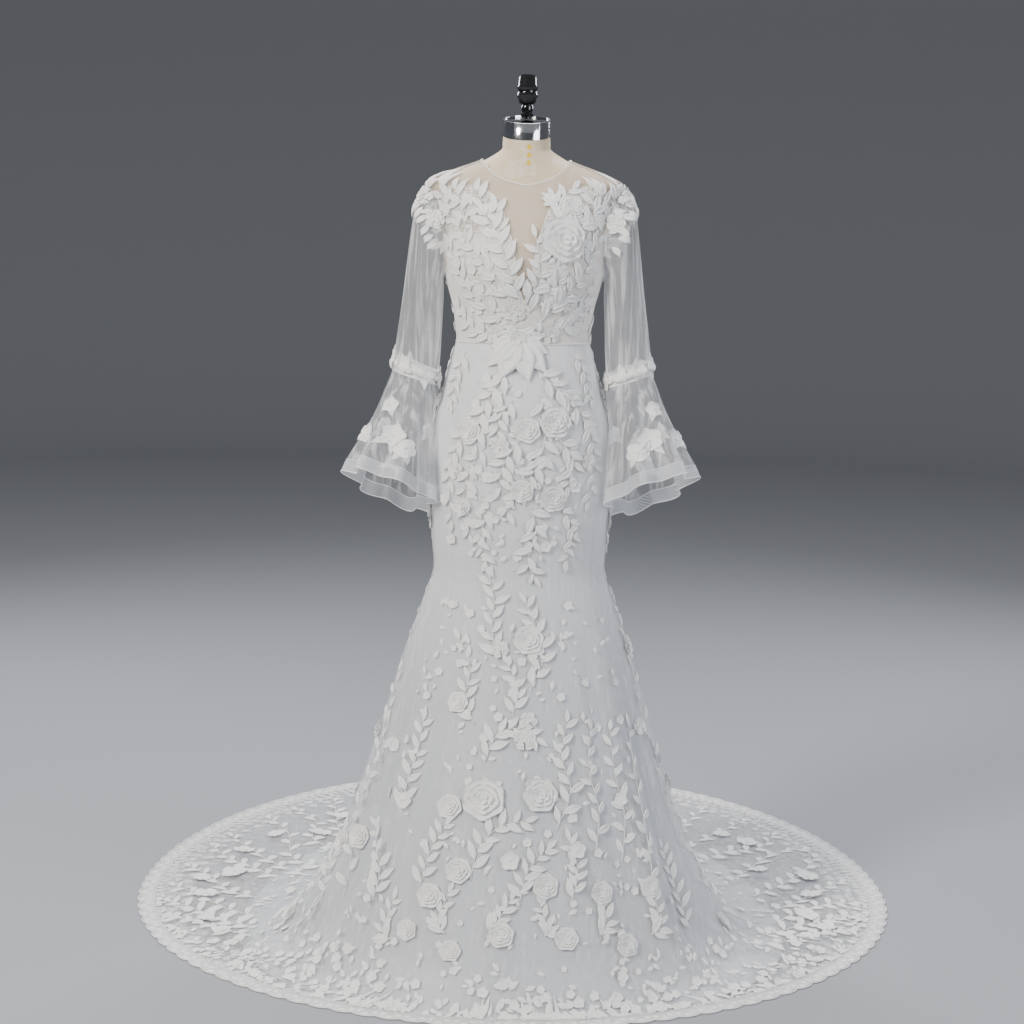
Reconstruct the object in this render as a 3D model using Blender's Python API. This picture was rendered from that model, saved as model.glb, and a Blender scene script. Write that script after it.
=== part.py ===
"""Mermaid gown with bell sleeves and a chapel train, on a limbless dress form.

Metres, +Z up. The gown faces -Y, and the wearer's left is +X. The origin is the centre
of the stand's underside, on the floor. Angles go round the body from the wearer's left
side: -90 degrees is the centre front, +90 degrees the centre back.
"""

import math
from collections import namedtuple

import bmesh
import bpy
import numpy as np

# Cloth
WALL = 0.0012
SEAM = 0.0003
LINING_GAP = 0.0005
LINING_EASE = 0.0020
SKIRT_LIFT = 0.0012
ROSE_LIFT = 0.0015
SPRAY_LIFT = 0.0030
APPLIQUE_WALL = 0.0014
LACE_RELIEF = 0.0007

# Gown levels
WAIST_Z = 1.203
HEM_Z = 0.0016
FOLDS_ROUND = 18
SMOOTH_FRONT = math.radians(26)
FULL_FOLDS = math.radians(62)

# Armhole: an ellipse in angle and height on each side
ARMHOLE_Z = 1.415
ARMHOLE_HALF = 0.085
ARMHOLE_TURN = math.radians(27)
ARMHOLE_LIFT = 0.0015

# Sleeves
SLEEVE_PLEATS = 5
BELL_FLUTES = 7
HIP_CLEAR = 0.008

# Lace edging of the train
EDGING_WIDTH = 0.038
EDGING_VALLEY = 0.80
EDGING_PITCH = 0.090
EDGING_ROWS = (0.0, 0.34, 0.74, 1.0)

# Buttons down the centre back
BUTTON_R = 0.0055
BUTTON_H = 0.0038
BUTTON_COUNT = 10
PLACKET_HALF = 0.008

# Dress form and stand
FORM_BOTTOM = 0.800
NECK_TILT = math.tan(math.radians(13))
NECK_MID = -0.006
NECK_TOP = 1.587
RING_R = 0.0445
RING_WALL = 0.0030
RING_H = 0.0315
POLE_R = 0.014
BASE_R = 0.160

BodyRow = namedtuple("BodyRow", "z half front back")
# The gown's outer face from the knee up, and the form under it
BODY_ROWS = [
    BodyRow(0.763, 0.1656, 0.112, 0.116),
    BodyRow(0.810, 0.1670, 0.114, 0.121),
    BodyRow(0.870, 0.1700, 0.119, 0.130),
    BodyRow(0.940, 0.1720, 0.124, 0.137),
    BodyRow(0.996, 0.1700, 0.124, 0.136),
    BodyRow(1.054, 0.1650, 0.121, 0.130),
    BodyRow(1.110, 0.1500, 0.112, 0.114),
    BodyRow(1.157, 0.1390, 0.102, 0.100),
    BodyRow(WAIST_Z, 0.1270, 0.092, 0.088),
    BodyRow(1.235, 0.1295, 0.096, 0.089),
    BodyRow(1.268, 0.1340, 0.105, 0.093),
    BodyRow(1.305, 0.1440, 0.118, 0.099),
    BodyRow(1.340, 0.1510, 0.127, 0.104),
    BodyRow(1.375, 0.1565, 0.125, 0.108),
    BodyRow(1.410, 0.1620, 0.114, 0.110),
    BodyRow(1.443, 0.1680, 0.099, 0.107),
    BodyRow(1.470, 0.1760, 0.085, 0.099),
    BodyRow(1.488, 0.1840, 0.074, 0.090),
    BodyRow(1.502, 0.1830, 0.067, 0.080),
    BodyRow(1.514, 0.1610, 0.063, 0.073),
    BodyRow(1.526, 0.1320, 0.060, 0.067),
    BodyRow(1.537, 0.1010, 0.058, 0.063),
    BodyRow(1.548, 0.0740, 0.057, 0.060),
    BodyRow(1.562, 0.0550, 0.055, 0.056),
]

SkirtRow = namedtuple("SkirtRow", "z half z_front front z_back back middle fold")
# The skirt's flare and train, from the edge on the floor up to the knee
FLARE_ROWS = [
    SkirtRow(HEM_Z, 0.765, HEM_Z, 0.365, HEM_Z, 1.280, 0.38, 0.000),
    SkirtRow(0.006, 0.680, 0.006, 0.360, 0.006, 1.070, 0.28, 0.009),
    SkirtRow(0.010, 0.580, 0.014, 0.352, 0.007, 0.860, 0.18, 0.010),
    SkirtRow(0.030, 0.475, 0.040, 0.338, 0.016, 0.670, 0.08, 0.010),
    SkirtRow(0.085, 0.405, 0.088, 0.315, 0.050, 0.560, 0.03, 0.012),
    SkirtRow(0.180, 0.352, 0.180, 0.285, 0.140, 0.470, 0.00, 0.013),
    SkirtRow(0.290, 0.307, 0.290, 0.252, 0.260, 0.390, 0.00, 0.012),
    SkirtRow(0.400, 0.272, 0.400, 0.218, 0.385, 0.310, 0.00, 0.010),
    SkirtRow(0.500, 0.2436, 0.500, 0.185, 0.490, 0.245, 0.00, 0.007),
    SkirtRow(0.600, 0.2170, 0.600, 0.152, 0.595, 0.185, 0.00, 0.004),
    SkirtRow(0.660, 0.1980, 0.660, 0.134, 0.657, 0.152, 0.00, 0.002),
    SkirtRow(0.716, 0.1800, 0.716, 0.120, 0.715, 0.129, 0.00, 0.001),
]
SKIRT_ROWS = FLARE_ROWS + [
    SkirtRow(r.z, r.half, r.z, r.front, r.z, r.back, 0.0, 0.0)
    for r in BODY_ROWS
    if r.z <= WAIST_Z
]
SKIRT_TOP = len(SKIRT_ROWS) - 1
SKIRT_LEVELS = (0, 1, 2, 3, 4, 5, 6.5, 8, 9.5, 11, 12, 13.5, 15.5, 17.5, SKIRT_TOP)
# Where the lining ends on the floor, as a level of the skirt
LINING_HEM = {"front": 0.7, "side": 2.3, "back": 1.6}

ArmRow = namedtuple("ArmRow", "out_x out_z in_x in_z front back drop flute")
# The bell's hem up to the sleeve's cap; the armhole itself closes the list
ARM_ROWS = [
    ArmRow(0.3300, 0.944, 0.1600, 0.884, 0.125, 0.092, 0.040, 0.016),
    ArmRow(0.3215, 0.967, 0.1595, 0.909, 0.119, 0.088, 0.038, 0.014),
    ArmRow(0.3000, 1.010, 0.1580, 0.960, 0.103, 0.078, 0.029, 0.010),
    ArmRow(0.2770, 1.060, 0.1570, 1.015, 0.083, 0.065, 0.018, 0.005),
    ArmRow(0.2590, 1.110, 0.1575, 1.072, 0.062, 0.052, 0.008, 0.002),
    ArmRow(0.2475, 1.147, 0.1590, 1.119, 0.046, 0.040, 0.000, 0.000),
    ArmRow(0.2500, 1.160, 0.1570, 1.131, 0.049, 0.043, 0.000, 0.000),
    ArmRow(0.2450, 1.172, 0.1585, 1.143, 0.044, 0.038, 0.000, 0.000),
    ArmRow(0.2375, 1.215, 0.1560, 1.180, 0.047, 0.041, 0.000, 0.0015),
    ArmRow(0.2260, 1.300, 0.1535, 1.235, 0.052, 0.047, 0.000, 0.0020),
    ArmRow(0.2165, 1.390, 0.1520, 1.285, 0.058, 0.054, 0.000, 0.0012),
    ArmRow(0.2090, 1.452, 0.1515, 1.315, 0.061, 0.059, 0.000, 0.0000),
]
BRAID_TOP = 1
BELL_TOP = 5
BAND_TOP = 7
ARM_LAST = len(ARM_ROWS) - 1
ARM_TOP = ARM_LAST + 1

# The grid of a wall's outer points, and the way out of the cloth at each
Panel = namedtuple("Panel", "us vs points aways")

CurveRow = namedtuple("CurveRow", "across z")
# Across goes from 0 at the centre front to 1 at the side
PLUNGE = [
    CurveRow(0.00, 1.283),
    CurveRow(0.10, 1.368),
    CurveRow(0.19, 1.430),
    CurveRow(0.26, 1.474),
    CurveRow(0.36, 1.492),
    CurveRow(0.60, 1.494),
    CurveRow(1.00, 1.470),
]
NECKLINE = [
    CurveRow(0.00, 1.490),
    CurveRow(0.19, 1.508),
    CurveRow(0.29, 1.520),
    CurveRow(0.49, 1.535),
    CurveRow(1.00, 1.544),
]
# Across goes from 0 at the side to 1 at the centre back
BACK_TOP = [
    CurveRow(0.00, 1.470),
    CurveRow(0.30, 1.457),
    CurveRow(0.60, 1.435),
    CurveRow(1.00, 1.415),
]
BACK_NECK = [
    CurveRow(0.00, 1.544),
    CurveRow(0.42, 1.541),
    CurveRow(0.69, 1.537),
    CurveRow(1.00, 1.533),
]
FRONT_ACROSS = (0.0, 0.06, 0.12, 0.18, 0.25, 0.35, 0.48, 0.62, 0.75, 0.88, 1.0)

EaseRow = namedtuple("EaseRow", "z ease")
# How far the form lies inside the gown's outer face
FORM_EASE = [
    EaseRow(1.130, 0.0098),
    EaseRow(1.250, 0.0058),
    EaseRow(1.340, 0.0078),
    EaseRow(1.460, 0.0078),
    EaseRow(1.500, 0.0150),
    EaseRow(1.540, 0.0120),
]

TurnRow = namedtuple("TurnRow", "z radius")
FINIAL = [
    TurnRow(1.6190, 0.0050),
    TurnRow(1.6225, 0.0050),
    TurnRow(1.6230, 0.0120),
    TurnRow(1.6270, 0.0125),
    TurnRow(1.6310, 0.0095),
    TurnRow(1.6400, 0.0115),
    TurnRow(1.6450, 0.0095),
    TurnRow(1.6480, 0.0155),
    TurnRow(1.6550, 0.0168),
    TurnRow(1.6620, 0.0205),
    TurnRow(1.6670, 0.0180),
    TurnRow(1.6720, 0.0180),
    TurnRow(1.6760, 0.0205),
    TurnRow(1.6810, 0.0175),
    TurnRow(1.6950, 0.0165),
    TurnRow(1.7000, 0.0130),
]
BASE = [
    TurnRow(0.0000, BASE_R),
    TurnRow(0.0080, BASE_R),
    TurnRow(0.0120, 0.150),
    TurnRow(0.0150, 0.060),
    TurnRow(0.0220, 0.026),
    TurnRow(0.0400, 0.022),
]

Finish = namedtuple("Finish", "name colour roughness metallic")
TULLE = Finish("ivory tulle", (0.83, 0.84, 0.85), 0.70, 0.0)
MESH = Finish("illusion mesh", (0.72, 0.60, 0.48), 0.75, 0.0)
CORDED_LACE = Finish("corded lace", (0.88, 0.88, 0.87), 0.65, 0.0)
SATIN = Finish("lining satin", (0.90, 0.90, 0.89), 0.35, 0.0)
BRAID = Finish("horsehair braid", (0.85, 0.86, 0.87), 0.45, 0.0)
COVERED = Finish("covered button", (0.90, 0.89, 0.87), 0.40, 0.0)
CANVAS = Finish("form canvas", (0.70, 0.55, 0.36), 0.80, 0.0)
CHROME = Finish("chrome", (0.80, 0.80, 0.82), 0.08, 1.0)
TURNED_BLACK = Finish("turned black", (0.01, 0.01, 0.01), 0.18, 0.0)
STEEL = Finish("pole steel", (0.55, 0.56, 0.57), 0.25, 1.0)
PAINTED = Finish("painted base", (0.03, 0.03, 0.03), 0.45, 0.2)


def clear_scene():
    for item in list(bpy.data.objects):
        bpy.data.objects.remove(item, do_unlink=True)


def material(finish):
    found = bpy.data.materials.get(finish.name)
    if found:
        return found
    made = bpy.data.materials.new(finish.name)
    made.use_nodes = True
    shader = made.node_tree.nodes["Principled BSDF"]
    shader.inputs["Base Color"].default_value = (*finish.colour, 1.0)
    shader.inputs["Roughness"].default_value = finish.roughness
    shader.inputs["Metallic"].default_value = finish.metallic
    return made


def add_solid(name, points, faces, finish, mirror=False):
    """One closed body as an object; mirrored across X = 0 if asked."""
    side = -1.0 if mirror else 1.0
    mesh = bpy.data.meshes.new(name)
    mesh.from_pydata([(side * p[0], p[1], p[2]) for p in points], [], faces)
    bm = bmesh.new()
    bm.from_mesh(mesh)
    bmesh.ops.recalc_face_normals(bm, faces=bm.faces)
    bm.to_mesh(mesh)
    bm.free()
    mesh.shade_smooth()
    mesh.set_sharp_from_angle(angle=math.radians(50))
    mesh.materials.append(material(finish))
    made = bpy.data.objects.new(name, mesh)
    bpy.context.scene.collection.objects.link(made)
    return made


def slab(name, outer, inner, triangles, finish, mirror=False):
    """A wall between two faces with the same triangles, closed round every open edge."""
    count = len(outer)
    faces = [tuple(t) for t in triangles]
    faces += [(a + count, c + count, b + count) for a, b, c in triangles]
    edges = {(t[k], t[(k + 1) % 3]) for t in triangles for k in range(3)}
    for a, b in sorted(edges):
        if (b, a) not in edges:
            faces.append((b, a, a + count))
            faces.append((b, a + count, b + count))
    return add_solid(name, list(outer) + list(inner), faces, finish, mirror)


def smooth(rows, level):
    """The rows' values at a fractional row number, on a Catmull-Rom curve."""
    last = len(rows) - 1
    level = min(max(level, 0.0), float(last))
    index = min(int(level), last - 1)
    f = level - index
    a, b, c, d = (
        np.array(rows[min(max(k, 0), last)], float)
        for k in (index - 1, index, index + 1, index + 2)
    )
    bend = (2 * a - 5 * b + 4 * c - d) * f + (3 * b - a - 3 * c + d) * f * f
    return 0.5 * (2 * b + (c - a + bend) * f)


def curve_z(rows, across):
    """Height of a panel's edge at a place across it, on a smooth curve."""
    marks = [r.across for r in rows]
    level = float(np.interp(across, marks, range(len(rows))))
    return float(smooth(rows, level)[1])


def level_of(rows, z):
    """The fractional row number at which the rows' first column is z."""
    low, high = 0.0, float(len(rows) - 1)
    for _ in range(40):
        middle = (low + high) / 2
        if smooth(rows, middle)[0] < z:
            low = middle
        else:
            high = middle
    return (low + high) / 2


def body_point(angle, z):
    """The gown's outer face from the hip up."""
    row = BodyRow(*smooth(BODY_ROWS, level_of(BODY_ROWS, z)))
    depth = row.back if math.sin(angle) > 0 else row.front
    return np.array([row.half * math.cos(angle), depth * math.sin(angle), z])


def fold_height(angle):
    """Share of the fold that stands out here, 0 to 1; none at the centre front."""
    off_front = abs(math.remainder(angle + math.pi / 2, 2 * math.pi))
    share = min(max((off_front - SMOOTH_FRONT) / (FULL_FOLDS - SMOOTH_FRONT), 0.0), 1.0)
    return share * (1 + math.cos(FOLDS_ROUND * angle)) / 2


def skirt_base(angle, level):
    """The skirt's outer face without its folds."""
    row = SkirtRow(*smooth(SKIRT_ROWS, level))
    c, s = math.cos(angle), math.sin(angle)
    front, back = max(-s, 0.0), max(s, 0.0)
    z = row.z * c * c + row.z_front * front**2 + row.z_back * back**2
    y = row.middle + (row.back - row.middle) * back - (row.front + row.middle) * front
    return np.array([row.half * c, y, z])


def skirt_point(angle, level):
    """The skirt's outer face with its folds."""
    fold = SkirtRow(*smooth(SKIRT_ROWS, level)).fold
    inside = min(max(level, 0.01), SKIRT_TOP - 0.01)
    away = facing(skirt_base, angle, inside)
    return skirt_base(angle, level) + away * fold * fold_height(angle)


def facing(surface, u, v):
    """Unit vector out of a surface whose u runs anticlockwise and v upwards."""
    step = 1e-4
    along = surface(u + step, v) - surface(u - step, v)
    up = surface(u, v + step) - surface(u, v - step)
    out = np.cross(along, up)
    return out / np.linalg.norm(out)


def armhole_angle(z):
    """How far the armhole reaches round the body from the side at this height."""
    share = 1 - ((z - ARMHOLE_Z) / ARMHOLE_HALF) ** 2
    return ARMHOLE_TURN * math.sqrt(max(share, 0.0))


def front_surface(lower, upper):
    """A front panel between two edge curves: u is -1 to 1 across, v is 0 to 1 up."""

    def point(u, v):
        low, high = lower(abs(u)), upper(abs(u))
        z = low + (high - low) * v
        reach = math.pi / 2 - armhole_angle(z) - SEAM / 0.15
        return body_point(-math.pi / 2 + u * reach, z)

    return point


def back_surface(lower, upper):
    """A left back panel: u is 0 at the side and 1 at the centre back, v is 0 to 1 up."""

    def point(u, v):
        low, high = lower(u), upper(u)
        z = low + (high - low) * v
        start = armhole_angle(z) + SEAM / 0.15
        end = math.pi / 2 - SEAM / 0.15
        return body_point(start + u * (end - start), z)

    return point


def skirt_panel(start, end, surface=skirt_point):
    """A skirt panel between two seams: u is 0 to 1 from start to end."""

    def point(u, level):
        gap = SEAM / 2 / SkirtRow(*smooth(SKIRT_ROWS, level)).half
        return surface(start + gap + u * (end - start - 2 * gap), level)

    return point


def lining_hem(angle):
    """The level of the skirt where the lining ends."""
    c, s = math.cos(angle), math.sin(angle)
    end = LINING_HEM["front"] if s < 0 else LINING_HEM["back"]
    return LINING_HEM["side"] * c * c + end * s * s


def armhole_point(turn):
    """The loop that the sleeve is sewn to; turn is 0 at the shoulder point."""
    angle = ARMHOLE_TURN * math.sin(turn)
    z = ARMHOLE_Z + ARMHOLE_HALF * math.cos(turn)
    return body_point(angle, z) + facing(body_point, angle, z) * ARMHOLE_LIFT


def clear_of_hip(point):
    """The point, moved out level until it stands clear of the hip."""
    x, y, z = point
    row = BodyRow(*smooth(BODY_ROWS, level_of(BODY_ROWS, z)))
    depth = (row.back if y > 0 else row.front) + HIP_CLEAR
    share = math.hypot(x / (row.half + HIP_CLEAR), y / depth)
    if share >= 1:
        return point
    return np.array([x / share, y / share, z])


def arm_ring(turn, level):
    """A ring of the sleeve or bell; turn is 0 at the outer side, +90 degrees behind."""
    row = ArmRow(*smooth(ARM_ROWS, level))
    c, s = math.cos(turn), math.sin(turn)
    middle = np.array([(row.out_x + row.in_x) / 2, 0.0, (row.out_z + row.in_z) / 2])
    reach = np.array([(row.out_x - row.in_x) / 2, 0.0, (row.out_z - row.in_z) / 2])
    depth = row.back if s > 0 else row.front
    spoke = reach * c + np.array([0.0, depth * s, -row.drop * s])
    waves = BELL_FLUTES if level < BELL_TOP else SLEEVE_PLEATS
    ripple = row.flute * math.cos(waves * turn)
    spoke = spoke * (1 + ripple / np.linalg.norm(spoke))
    return clear_of_hip(middle + spoke)


def arm_point(turn, level):
    """The left sleeve's outer face, from the bell's hem up to the armhole."""
    if level <= ARM_LAST:
        return arm_ring(turn, level)
    share = level - ARM_LAST
    return arm_ring(turn, ARM_LAST) * (1 - share) + armhole_point(turn) * share


def wall(name, surface, us, vs, finish, **options):
    """A cloth wall over a grid of places on a surface.

    around closes it into a tube, out moves it off the surface, relief raises its outer
    points, and mirror makes the other side's piece. The grid of outer points comes back.
    """
    around = options.get("around", False)
    out = options.get("out", 0.0)
    relief = options.get("relief")
    outer, inner, aways = [], [], []
    for i, u in enumerate(us):
        for j, v in enumerate(vs):
            level = v(u) if callable(v) else v
            spot = surface(u, level)
            away = facing(surface, u, level)
            lift = out(level) if callable(out) else out
            raised = relief(i, j) if relief else 0.0
            outer.append(spot + away * (lift + raised))
            inner.append(spot + away * (lift - WALL))
            aways.append(away)
    triangles = []
    columns, rows = len(us), len(vs)
    for i in range(columns if around else columns - 1):
        for j in range(rows - 1):
            a = i * rows + j
            b = (i + 1) % columns * rows + j
            triangles += [(a, b, b + 1), (a, b + 1, a + 1)]
    slab(name, outer, inner, triangles, finish, options.get("mirror", False))
    return Panel(us, vs, outer, aways)


def lay_on(panel, u, v):
    """A place on the panel's own facets, and the way out of it there."""
    i = min(max(int(np.searchsorted(panel.us, u)) - 1, 0), len(panel.us) - 2)
    j = min(max(int(np.searchsorted(panel.vs, v)) - 1, 0), len(panel.vs) - 2)
    across = (u - panel.us[i]) / (panel.us[i + 1] - panel.us[i])
    up = (v - panel.vs[j]) / (panel.vs[j + 1] - panel.vs[j])
    rows = len(panel.vs)
    a, b = i * rows + j, (i + 1) * rows + j

    def between(values):
        if across >= up:
            return values[a] + (values[b] - values[a]) * across + (
                values[b + 1] - values[b]
            ) * up
        return values[a] + (values[b + 1] - values[a + 1]) * across + (
            values[a + 1] - values[a]
        ) * up

    away = between(panel.aways)
    return between(panel.points), away / np.linalg.norm(away)


def turned(name, rows, finish, segments, place=None):
    """A solid turned about the Z axis, closed at both ends."""
    place = place or (lambda x, y, z: (x, y, z))
    points = []
    for row in rows:
        for k in range(segments):
            turn = 2 * math.pi * k / segments
            spot = (row.radius * math.cos(turn), row.radius * math.sin(turn), row.z)
            points.append(place(*spot))
    return stacked(name, points, segments, len(rows), finish)


def stacked(name, points, segments, count, finish):
    """A closed solid through rings of points, with a centre point on each end."""
    bottom = len(points)
    first, last = points[:segments], points[-segments:]
    ends = [tuple(np.mean(first, axis=0)), tuple(np.mean(last, axis=0))]
    faces = []
    for k in range(segments):
        n = (k + 1) % segments
        faces.append((bottom, n, k))
        faces.append((bottom + 1, (count - 1) * segments + k, (count - 1) * segments + n))
        for j in range(count - 1):
            a, b = j * segments + k, j * segments + n
            faces += [(a, b, b + segments), (a, b + segments, a + segments)]
    return add_solid(name, list(points) + ends, faces, finish)


def on_neck(x, y, z):
    """A place on the tilted neck, from one on an upright axis."""
    return (x, y + NECK_MID, z + NECK_TILT * y)


def make_form():
    """The padded torso, from the hip to the top of the neck."""
    segments = 26
    heights = [FORM_BOTTOM, 0.87, 0.94, 1.0, 1.06, 1.11, 1.157, 1.19, 1.215]
    heights += [1.245, 1.28, 1.31, 1.34, 1.37, 1.41, 1.45, 1.475, 1.49, 1.502]
    heights += [1.514, 1.526, 1.54]
    points = []
    for z in heights:
        ease = float(np.interp(z, [r.z for r in FORM_EASE], [r.ease for r in FORM_EASE]))
        for k in range(segments):
            angle = 2 * math.pi * k / segments
            away = facing(body_point, angle, z)
            if z == FORM_BOTTOM:
                away = away * (1, 1, 0)
            points.append(tuple(body_point(angle, z) - away * ease))
    for z, radius, share in ((1.560, 0.0490, 0.4), (1.573, 0.0450, 0.8), (NECK_TOP, 0.0440, 1)):
        for k in range(segments):
            angle = 2 * math.pi * k / segments
            x, y = radius * math.cos(angle), radius * math.sin(angle)
            points.append((x, y + NECK_MID * share, z + NECK_TILT * share * y))
    stacked("form_body", points, segments, len(heights) + 3, CANVAS)


def make_neck_ring():
    """The chrome band round the neck's top, the black plate in it and the finial."""
    segments = 24
    low, high = NECK_TOP + SEAM, NECK_TOP + RING_H
    outer, inner = [], []
    for k in range(segments):
        turn = 2 * math.pi * k / segments
        c, s = math.cos(turn), math.sin(turn)
        for z in (low, high):
            outer.append(on_neck(RING_R * c, RING_R * s, z))
            inner.append(on_neck((RING_R - RING_WALL) * c, (RING_R - RING_WALL) * s, z))
    triangles = []
    for k in range(segments):
        a, b = 2 * k, 2 * ((k + 1) % segments)
        triangles += [(a, b, b + 1), (a, b + 1, a + 1)]
    slab("form_neck_ring", outer, inner, triangles, CHROME)
    plate = RING_R - RING_WALL - SEAM
    rows = [TurnRow(low, plate), TurnRow(high - 0.0015, plate)]
    turned("form_neck_plate", rows, TURNED_BLACK, segments, on_neck)
    turned("form_finial", FINIAL, TURNED_BLACK, 14, lambda x, y, z: (x, y + NECK_MID, z))


def make_stand():
    turned("form_base", BASE, PAINTED, 28)
    rows = [TurnRow(BASE[-1].z + SEAM, POLE_R), TurnRow(FORM_BOTTOM - SEAM, POLE_R)]
    turned("form_pole", rows, STEEL, 14)


def lace_relief(i, j):
    """The lace's raised ground: high and low places by turns."""
    return LACE_RELIEF if (i + j) % 2 else 0.0


def make_bodice():
    """Sheer yoke and lace bodice, front and back, with the shoulder and side seams."""
    across = [-u for u in reversed(FRONT_ACROSS[1:])] + list(FRONT_ACROSS)
    plunge = lambda u: curve_z(PLUNGE, u)
    above_plunge = lambda u: curve_z(PLUNGE, u) + SEAM
    neck = lambda u: curve_z(NECKLINE, u)
    waist = lambda u: WAIST_Z + SEAM
    ups = np.linspace(0, 1, 9)
    bodice = front_surface(waist, plunge)
    made = wall("bodice_front", bodice, across, ups, CORDED_LACE, relief=lace_relief)
    yoke = front_surface(above_plunge, neck)
    wall("yoke_front", yoke, across, np.linspace(0, 1, 6), MESH)
    back_top = lambda u: curve_z(BACK_TOP, u)
    above_back = lambda u: curve_z(BACK_TOP, u) + SEAM
    back_neck = lambda u: curve_z(BACK_NECK, u)
    side_to_back = np.linspace(0, 1, 9)
    for side, mirror in (("left", False), ("right", True)):
        back = back_surface(waist, back_top)
        back_ups = np.linspace(0, 1, 8)
        wall(f"bodice_back_{side}", back, side_to_back, back_ups, CORDED_LACE, mirror=mirror)
        sheer = back_surface(above_back, back_neck)
        back_ups = np.linspace(0, 1, 4)
        wall(f"yoke_back_{side}", sheer, side_to_back, back_ups, MESH, mirror=mirror)
    return made


def make_closing():
    """The placket over the centre back seam and its covered buttons."""
    heights = list(np.linspace(WAIST_Z + SEAM, BACK_TOP[-1].z, 8))
    heights += list(np.linspace(BACK_TOP[-1].z, BACK_NECK[-1].z, 4))[1:]

    def strip(u, z):
        row = BodyRow(*smooth(BODY_ROWS, level_of(BODY_ROWS, z)))
        return body_point(math.pi / 2 + u * PLACKET_HALF / row.half, z)

    band = wall("placket", strip, (-1, 0, 1), heights, CORDED_LACE, out=WALL + 2 * SEAM)
    low, high = heights[0] + 0.018, heights[-1] - 0.018
    for n in range(BUTTON_COUNT):
        z = low + (high - low) * n / (BUTTON_COUNT - 1)
        middle, away = lay_on(band, 0.0, z)
        make_button(f"button_{n + 1:02d}", middle + away * 3 * SEAM, away)


def make_button(name, middle, away):
    """A domed covered button, its flat side towards the placket."""
    side = np.array([1.0, 0.0, 0.0])
    up = np.cross(away, side)
    segments = 8
    points = []
    for share, height in ((0.92, 0.0), (1.0, 0.4), (0.62, 0.9)):
        for k in range(segments):
            turn = 2 * math.pi * k / segments
            spoke = side * math.cos(turn) + up * math.sin(turn)
            points.append(middle + spoke * BUTTON_R * share + away * BUTTON_H * height)
    stacked(name, points, segments, 3, COVERED)


def round_turns(count):
    return [2 * math.pi * k / count for k in range(count)]


def make_sleeve(side, mirror):
    """Sheer sleeve, cap lace, elbow band, fluted bell and its braid hem."""
    gap = 0.02
    sleeve_turns = round_turns(20)
    options = {"around": True, "mirror": mirror}
    levels = (BAND_TOP + gap, 8, 9.5, 11, ARM_TOP)
    wall(f"sleeve_{side}", arm_point, sleeve_turns, levels, TULLE, **options)
    band = (BELL_TOP + gap, 6, BAND_TOP - gap)
    wall(f"sleeve_band_{side}", arm_point, sleeve_turns, band, CORDED_LACE, **options)
    bell_turns = round_turns(35)
    bell = (BRAID_TOP + gap, 2.3, 3.6, BELL_TOP - gap)
    wall(f"bell_{side}", arm_point, bell_turns, bell, TULLE, **options)
    hem = (0, BRAID_TOP - gap)
    wall(f"bell_hem_{side}", arm_point, bell_turns, hem, BRAID, **options)
    cap_turns = [2 * math.pi * k / 20 for k in range(-3, 4)]
    cap_levels = (10.25, 11, 11.9)
    wall(
        f"cap_lace_{side}",
        arm_point,
        cap_turns,
        cap_levels,
        CORDED_LACE,
        out=WALL + 4 * SEAM,
        mirror=mirror,
    )


def make_skirt():
    """Tulle over-skirt with its train, in a front and two backs, over a satin lining."""
    quarter = math.pi / 2
    front = skirt_panel(-math.pi, 0.0)
    made = wall("skirt_front", front, np.linspace(0, 1, 27), SKIRT_LEVELS, TULLE)
    left = skirt_panel(0.0, quarter)
    right = skirt_panel(quarter, math.pi)
    back_us = np.linspace(0, 1, 19)
    wall("skirt_back_left", left, back_us, SKIRT_LEVELS, TULLE)
    wall("skirt_back_right", right, back_us, SKIRT_LEVELS, TULLE)
    inside = lambda level: -WALL - LINING_GAP - LINING_EASE * min(SKIRT_TOP - level, 1.0)
    panels = (
        ("lining_front", -math.pi, 0.0, 14),
        ("lining_back_left", 0.0, quarter, 8),
        ("lining_back_right", quarter, math.pi, 8),
    )
    for name, start, end, columns in panels:
        surface = skirt_panel(start, end, skirt_base)
        settled = SKIRT_LEVELS[3]
        levels = []
        for share in (0, 1 / 3, 2 / 3):
            levels.append(
                lambda u, f=share, a=start, b=end: lining_hem(a + u * (b - a)) * (1 - f)
                + settled * f
            )
        levels += SKIRT_LEVELS[3:]
        wall(name, surface, np.linspace(0, 1, columns), levels, SATIN, out=inside)
    return made


def train_edge():
    """Angles round the train's edge and the length of edge up to each, from -180."""
    angles = np.linspace(-math.pi, math.pi, 1441)
    points = np.array([skirt_base(a, 0) for a in angles])
    steps = np.linalg.norm(np.diff(points, axis=0), axis=1)
    return angles, np.concatenate([[0.0], np.cumsum(steps)])


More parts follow.
